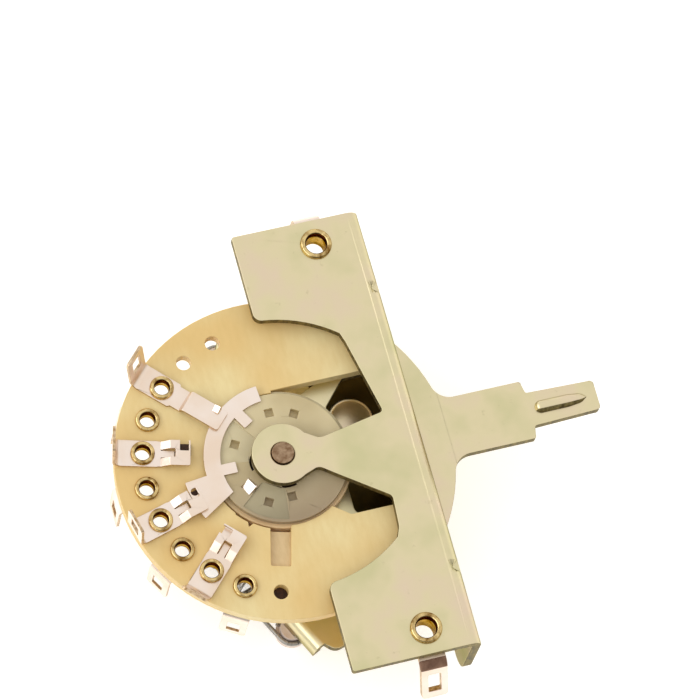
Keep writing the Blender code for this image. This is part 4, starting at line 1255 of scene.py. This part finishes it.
def sectorPath(start, end):
    s = rotorSizes
    corner = s["sectorCorner"]
    return [(*polarPoint(s["sectorInner"], start), corner), polarPoint(s["sectorOuter"], start),
            ("round", *pivot, end - start), (*polarPoint(s["sectorInner"], end), corner)]


def gapPath(start, end, inner, outer):
    return [polarPoint(inner, start), ("round", *pivot, end - start), polarPoint(outer, end),
            ("round", *pivot, start - end)]


def sunkFloor(path, depth):
    shape = flatShape(path)
    faces = shape.faces[:]
    made = bmesh.ops.extrude_face_region(shape, geom=faces)["geom"]
    bmesh.ops.translate(shape, verts=pickVerts(made), vec=(0, 0, -depth * mm))
    bmesh.ops.delete(shape, geom=faces, context="FACES_ONLY")
    return shape


def inPocket(point, angles):
    for angle in angles:
        middle = Vector((*polarPoint(pocketRadii[angle], angle), 0)) * mm
        if (point.co - middle).length < rotorSizes["pocket"] * mm:
            return True
    return False


# A sector's floor lies a little deeper and has its own pockets. Its outer edges rise to the face.
def sunkSector(start, end):
    angles = [angle for angle in pocketRadii if start < angle < end]
    shape = flatShape(sectorPath(start, end), *[pocketPath(angle) for angle in angles])
    paintFaces(shape, 1)
    outer = [edge for edge in openEdges(shape) if not inPocket(edge.verts[0], angles)]
    made = bmesh.ops.extrude_edge_only(shape, edges=outer)["geom"]
    bmesh.ops.translate(shape, verts=pickVerts(made), vec=(0, 0, rotorSizes["sectorDepth"] * mm))
    return shape


# Walls go back from the open edges of a face, and the back is closed again.
def closeBack(shape, thickness):
    made = bmesh.ops.extrude_edge_only(shape, edges=openEdges(shape))["geom"]
    points = pickVerts(made)
    back = [edge for edge in pickEdges(made) if edge.verts[0] in points and edge.verts[1] in points]
    for point in points:
        point.co.z = -thickness * mm
    bmesh.ops.triangle_fill(shape, use_beauty=True, use_dissolve=False, edges=back, normal=(0, 0, -1))


def discFace():
    s = rotorSizes
    loose = [angle for angle in pocketRadii if not any(a < angle < b for a, b in sectorAngles)]
    window = squarePath(polarPoint(s["windowRadius"], s["windowAngle"]), s["window"], s["windowAngle"])
    shape = flatShape(circle(pivot, s["radius"], 96), circle(pivot, s["bore"]), window,
                      *[sectorPath(*sector) for sector in sectorAngles],
                      *[pocketPath(angle) for angle in loose], *[gapPath(*hubGap) for hubGap in hubGaps])
    # The floors of the hub gaps are painted dark as painted shade.
    for hubGap in hubGaps:
        floor = sunkFloor(gapPath(*hubGap), s["gapDepth"])
        paintFaces(floor, 2)
        joinShape(shape, floor)
    for angle in pocketRadii:
        level = 0 if angle in loose else -s["sectorDepth"]
        joinShape(shape, sunkFloor(pocketPath(angle), s["pocketDepth"]), shift(z=level))
    for sector in sectorAngles:
        joinShape(shape, sunkSector(*sector), shift(z=-s["sectorDepth"]))
    bmesh.ops.remove_doubles(shape, verts=shape.verts, dist=tiny)
    return shape


def discSkirt():
    s = rotorSizes
    inner = s["radius"] - s["skirtInset"]
    skirt = turnedShape([(inner, s["skirtFront"] + s["skirtSlope"]), (s["skirt"], s["skirtFront"], 0.15),
                         (s["skirt"], s["skirtBack"], 0.1), (inner, s["skirtBack"])], pivot, 96)
    paintFaces(skirt, 4)
    return skirt


def brightTab():
    s = rotorSizes
    tab = flatShape(squarePath((0, 0), s["window"], 0))
    thickenFlat(tab, s["tabThickness"])
    paintFaces(tab, 3)
    lean = Matrix.Rotation(math.radians(s["tabLean"]), 4, "X")
    turn = Matrix.Rotation(math.radians(s["windowAngle"]), 4, "Z")
    spot = polarPoint(s["windowRadius"], s["windowAngle"])
    tab.transform(shift(spot[0], s["front"] + s["tabSink"], spot[1]) @ standUp @ lean @ turn)
    return tab


def makeRotor():
    s = rotorSizes
    shape = discFace()
    closeBack(shape, s["rear"] - s["front"])
    shape.transform(stoodAt(s["front"]))
    joinShape(shape, discSkirt())
    joinShape(shape, brightTab())
    materials = [rotorNylon, sectorNylon, darkShade, silverStrip, skirtNylon]
    finishPiece("rotorDisc", shape, materials, "lever", "rotor", rounding=s["edgeRounding"])


# Rotor blades: a ring segment with a nose at one end and teeth on its inside, as seen from the side it faces

bladeSizes = {"thickness": 0.25, "outer": 8.9, "inner": 7.0, "start": -85.5, "nose": 11.5, "noseAngle": 14.0,
              "noseHalf": 12.4, "toothInner": 5.3, "toothWidth": 1.3, "holeRadius": 10.85, "holeAngle": 9.5,
              "noseHole": 0.45, "noseTaper": 1, "undercut": 3, "toothCorner": 0.15, "front": -4.15,
              "rear": -1.4, "rearTurn": 15, "edgeRounding": 0.04}
toothAngles = (0, -60)


def bladeShape(*holes):
    s = bladeSizes
    noseStart = s["noseAngle"] - s["noseHalf"]
    noseEnd = s["noseAngle"] + s["noseHalf"]
    toothHalf = math.degrees(s["toothWidth"] / 2 / s["inner"])
    path = [polarPoint(s["outer"], s["start"]), ("round", *pivot, noseStart - s["start"]),
            polarPoint(s["nose"], noseStart + s["noseTaper"]),
            ("round", *pivot, noseEnd - noseStart - s["noseTaper"]),
            polarPoint(s["inner"], noseEnd - s["undercut"])]
    here = noseEnd - s["undercut"]
    for angle in toothAngles:
        path += [("round", *pivot, angle + toothHalf - here),
                 (*polarPoint(s["toothInner"], angle, s["toothWidth"] / 2), s["toothCorner"]),
                 (*polarPoint(s["toothInner"], angle, -s["toothWidth"] / 2), s["toothCorner"]),
                 polarPoint(s["inner"], angle - toothHalf)]
        here = angle - toothHalf
    path.append(("round", *pivot, s["start"] - here))
    shape = flatShape(path, *holes)
    thickenFlat(shape, s["thickness"])
    paintWalls(shape)
    return shape


def makeBlades():
    s = bladeSizes
    front = bladeShape(circle(polarPoint(s["holeRadius"], s["holeAngle"]), s["noseHole"], 24))
    front.transform(stoodAt(s["front"]))
    rear = bladeShape()
    bmesh.ops.scale(rear, vec=(-1, 1, 1), verts=rear.verts)
    bmesh.ops.reverse_faces(rear, faces=rear.faces)
    turn = Matrix.Rotation(math.radians(s["rearTurn"]), 4, "Z")
    rear.transform(shift(y=pivot[1]) @ turn @ shift(y=-pivot[1]))
    rear.transform(stoodAt(s["rear"]))
    for side, shape in (("front", front), ("rear", rear)):
        finishPiece(side + "Wiper", shape, [silverStrip, stripRim], "lever", side + "_rotor_blade",
                    rounding=s["edgeRounding"])


makeRotor()
makeBlades()
print("rotor and wipers made")


# Shaft, spacer and washer

shaftSizes = {"radius": 1.4, "journal": 1.15, "head": 1.27, "headHeight": 0.3, "end": 1.9, "endHeight": 0.5,
              "bore": 1.43, "spacer": 2.4, "washer": 2.7, "washerBack": 9.16, "washerThickness": 0.5}


# A tube or washer that turns with the shaft, with small roundings at its ends.
def ringPath(inner, outer, front, back, innerRounding, outerRounding):
    return [(inner, back, innerRounding[0]), (outer, back, outerRounding), (outer, front, innerRounding[1]),
            (inner, front, 0.05)]


def makeShaft():
    s = shaftSizes
    neckFront = levels["flangeFront"] - gap
    headFront = neckFront - s["headHeight"]
    shoulder = levels["flangeBack"] + gap
    back = s["washerBack"]
    rear = back + s["endHeight"]
    path = [(0, rear), (s["end"], rear, 0.3), (s["end"], back, 0.05), (s["radius"], back),
            (s["radius"], shoulder), (s["journal"], shoulder), (s["journal"], neckFront),
            (s["head"], neckFront, 0.03), (s["head"], headFront, 0.07), (0, headFront + 0.03)]
    smoothPiece("pivotShaft", turnedShape(path, pivot), [rivetedEnd], "lever", "pivot_shaft")
    sleeve = ringPath(s["bore"], s["spacer"], levels["leverBack"] + gap, levels["armFront"] - gap,
                      (0.05, 0.12), 0.12)
    smoothPiece("shaftSpacer", turnedShape(sleeve, pivot), [turnedSteel], "lever", "shaft_spacer")
    front = back - gap - s["washerThickness"]
    washer = ringPath(s["bore"], s["washer"], front, back - gap, (0.05, 0.05), 0.12)
    smoothPiece("endWasher", turnedShape(washer, pivot), [zincSheet], "lever", "end_washer")


# Detent: notched cam, roller and spring

detentSizes = {"camRadius": 6.0, "camThickness": 1.6, "hub": 2.5, "roller": 0.9, "flange": 1.5,
               "flangeWidth": 0.45, "notchSink": 0.35, "notchStep": 15, "notches": 5, "coil": 2.0,
               "wire": 0.56, "turns": 20, "pointsPerTurn": 24, "coilGap": 0.2, "lineSoftness": 0.12,
               "loopSteps": 39, "loopStep": 8, "lineLength": 1.08, "edgeRounding": 0.06}


def camShape():
    s = detentSizes
    rim = s["camRadius"]
    reach = s["roller"] + gap
    centre = rim + reach - s["notchSink"]
    half = math.degrees(math.acos((rim ** 2 + centre ** 2 - reach ** 2) / (2 * rim * centre)))
    first = -s["notchStep"] * (s["notches"] - 1) / 2
    path = [polarPoint(rim, first - half)]
    for i in range(s["notches"]):
        notch = first + s["notchStep"] * i
        middle = Vector(polarPoint(centre, notch))
        left = Vector(polarPoint(rim, notch - half)) - middle
        right = Vector(polarPoint(rim, notch + half)) - middle
        path.append(("round", *middle, -math.degrees(right.angle(left))))
        if i < s["notches"] - 1:
            path.append(polarPoint(rim, notch + s["notchStep"] - half))
    path.append(("round", *pivot, 360 + 2 * first - 2 * half))
    return flatShape(path, circle(pivot, shaftSizes["bore"]), arcStep=8.0)


def makeCam():
    s = detentSizes
    shape = camShape()
    thickenFlat(shape, s["camThickness"])
    back = levels["springMiddle"] + s["camThickness"] / 2
    shape.transform(stoodAt(back))
    hubBack = levels["springMiddle"] - s["camThickness"] / 2 + 0.1
    hubFront = levels["armBack"] + gap
    bore = shaftSizes["bore"]
    joinShape(shape, turnedShape([(bore, hubBack), (s["hub"], hubBack), (s["hub"], hubFront, 0.15),
                                  (bore, hubFront)], pivot))
    finishPiece("detentCam", shape, [turnedSteel], "lever", "detent_cam", rounding=s["edgeRounding"])


def makeRoller():
    s = detentSizes
    half = s["coil"] + 2 * gap
    end = half + s["flangeWidth"]
    middle = levels["springMiddle"]
    path = [(0, middle + end), (s["flange"], middle + end, 0.12), (s["flange"], middle + half, 0.05),
            (s["roller"], middle + half, 0.05), (s["roller"], middle - half, 0.05),
            (s["flange"], middle - half, 0.05), (s["flange"], middle - end, 0.12), (0, middle - end)]
    roller = turnedShape(path, (0, pivot[1] - s["camRadius"] - s["roller"] - gap), 48)
    smoothPiece("detentRoller", roller, [turnedSteel], "detent_roller", "detent_roller")


# Middle line of the spring: a V with a soft bottom under the roller. The share runs from -1 to 1.
def springLine(share):
    s = detentSizes
    low = pivot[1] - s["camRadius"] - 2 * s["roller"] - s["coil"] - 2 * gap
    soft = s["lineSoftness"]
    curve = (math.sqrt(share ** 2 + soft ** 2) - soft) / (math.sqrt(1 + soft ** 2) - soft)
    return Vector((share * lugSizes["x"], low + (-lugSizes["drop"] - low) * curve))


def springHelix(coil):
    s = detentSizes
    body = 1 - (2 * s["coil"] + s["coilGap"]) / lugSizes["x"] / s["lineLength"]
    total = s["turns"] * s["pointsPerTurn"]
    points = []
    for i in range(total + 1):
        share = -body + 2 * body * i / total
        ahead = (springLine(share + 0.01) - springLine(share - 0.01)).normalized()
        turn = math.tau * i / s["pointsPerTurn"]
        flat = springLine(share) + Vector((ahead.y, -ahead.x)) * coil * math.cos(turn)
        points.append((flat.x, levels["springMiddle"] + coil * math.sin(turn), flat.y))
    return points


def springLoop(coil):
    centre = springLine(1)
    ahead = (springLine(1.0) - springLine(0.98)).normalized()
    normal = Vector((ahead.y, -ahead.x))
    points = []
    for i in range(detentSizes["loopSteps"]):
        turn = math.radians(detentSizes["loopStep"] * i)
        flat = centre + normal * coil * math.cos(turn) + ahead * coil * math.sin(turn)
        points.append((flat.x, levels["springMiddle"], flat.y))
    return points


def makeSpring():
    s = detentSizes
    coil = s["coil"] - s["wire"] / 2
    loop = springLoop(coil)
    points = [(-x, y, z) for x, y, z in reversed(loop)] + springHelix(coil) + loop
    curve = bpy.data.curves.new("detentSpring", "CURVE")
    curve.dimensions = "3D"
    curve.bevel_depth = s["wire"] / 2 * mm
    curve.bevel_resolution = 3
    curve.use_fill_caps = True
    line = curve.splines.new("POLY")
    line.points.add(len(points) - 1)
    for point, place in zip(line.points, points):
        point.co = (place[0] * mm, place[1] * mm, place[2] * mm, 1)
    placePiece("detentSpring", curve, [turnedSteel], "frame", "detent_spring")


def dressBushes():
    for name in ("spring_bush_upper", "spring_bush_lower"):
        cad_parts[name].data.materials.clear()
        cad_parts[name].data.materials.append(bushTin)


makeShaft()
makeCam()
makeRoller()
makeSpring()
dressBushes()
print("shaft and detent made")


# Stage, light and camera

stageSizes = {"floorY": 10.5, "floorSpan": 3000, "floorColour": "F8F7F5", "floorGlow": 0.42}
sky = {"brightSide": (-0.60, -0.78, 0.15), "colour": "FFFDFA",
       "range": {"From Min": -0.45, "From Max": 0.35, "To Min": 0.15, "To Max": 0.92}}
lamps = {      # place and target in metres, width, height, power in watts
    "keyLamp": ((0.0, -0.33, -0.48), (0, 0, -0.01), 0.9, 0.25, 1.3),
    "rearLamp": ((0.1, 0.5, 0.2), (0, 0, -0.01), 0.4, 0.3, 0.5),
}
photoCamera = {      # fitted to the photograph: focal length in pixels, picture axes, place
    "focal": 4705.07,
    "pixels": 700,
    "sensor": 36,
    "right": (0.26351, -0.11348, 0.95796),
    "down": (0.91662, 0.33891, -0.21200),
    "place": (151.46, -508.08, -109.44),
}


# The floor glows a little so that it stays pale, and is clear from behind.
def floorMaterial():
    made = bpy.data.materials.new("paleFloor")
    made.use_nodes = True
    tree = made.node_tree
    shader = tree.nodes["Principled BSDF"]
    shader.inputs["Base Color"].default_value = linearColour(stageSizes["floorColour"])
    shader.inputs["Roughness"].default_value = 0.9
    shader.inputs["Emission Color"].default_value = linearColour("FFFFFF")
    shader.inputs["Emission Strength"].default_value = stageSizes["floorGlow"]
    clear = addNode(tree, "ShaderNodeBsdfTransparent")
    behind = addNode(tree, "ShaderNodeNewGeometry").outputs["Backfacing"]
    both = addNode(tree, "ShaderNodeMixShader", {},
                   {"Fac": behind, 1: shader.outputs["BSDF"], 2: clear.outputs["BSDF"]})
    tree.links.new(both.outputs["Shader"], tree.nodes["Material Output"].inputs["Surface"])
    return made


def makeStage():
    shape = bmesh.new()
    bmesh.ops.create_grid(shape, x_segments=1, y_segments=1, size=stageSizes["floorSpan"] / 2 * mm,
                          matrix=stoodAt(stageSizes["floorY"]))
    floor = addObject("floor", meshOf("floor", shape))
    floor.data.materials.append(floorMaterial())


# A soft studio: bright from the upper left and the front, darker from the right and below.
def makeWorld():
    world = bpy.data.worlds.new("studio")
    bpy.context.scene.world = world
    world.use_nodes = True
    tree = world.node_tree
    way = addNode(tree, "ShaderNodeTexCoord").outputs["Generated"]
    bright = Vector(sky["brightSide"]).normalized()
    side = addNode(tree, "ShaderNodeVectorMath", {"operation": "DOT_PRODUCT", 1: bright}, {0: way})
    settings = {"interpolation_type": "SMOOTHSTEP", **sky["range"]}
    power = addNode(tree, "ShaderNodeMapRange", settings, {"Value": side.outputs["Value"]})
    back = tree.nodes["Background"]
    back.inputs["Color"].default_value = linearColour(sky["colour"])
    tree.links.new(power.outputs["Result"], back.inputs["Strength"])
    bpy.context.scene.view_settings.view_transform = "Standard"


def addLamp(name):
    place, target, width, height, power = lamps[name]
    lamp = bpy.data.lights.new(name, "AREA")
    lamp.shape = "RECTANGLE"
    lamp.size = width
    lamp.size_y = height
    lamp.energy = power
    item = addObject(name, lamp)
    item.location = place
    item.rotation_euler = (Vector(target) - Vector(place)).to_track_quat("-Z", "Y").to_euler()


def makeCamera():
    s = photoCamera
    right = Vector(s["right"]).normalized()
    down = Vector(s["down"]).normalized()
    ahead = right.cross(down)
    camera = bpy.data.cameras.new("photoCamera")
    camera.lens = s["focal"] / s["pixels"] * s["sensor"]
    camera.sensor_width = s["sensor"]
    camera.clip_end = 20
    item = addObject("photoCamera", camera)
    turn = Matrix((right, -down, -ahead)).transposed().to_4x4()
    item.matrix_world = Matrix.Translation(Vector(s["place"]) * mm) @ turn
    bpy.context.scene.camera = item


makeStage()
makeWorld()
for name in lamps:
    addLamp(name)
makeCamera()
print("stage, light and camera ready")
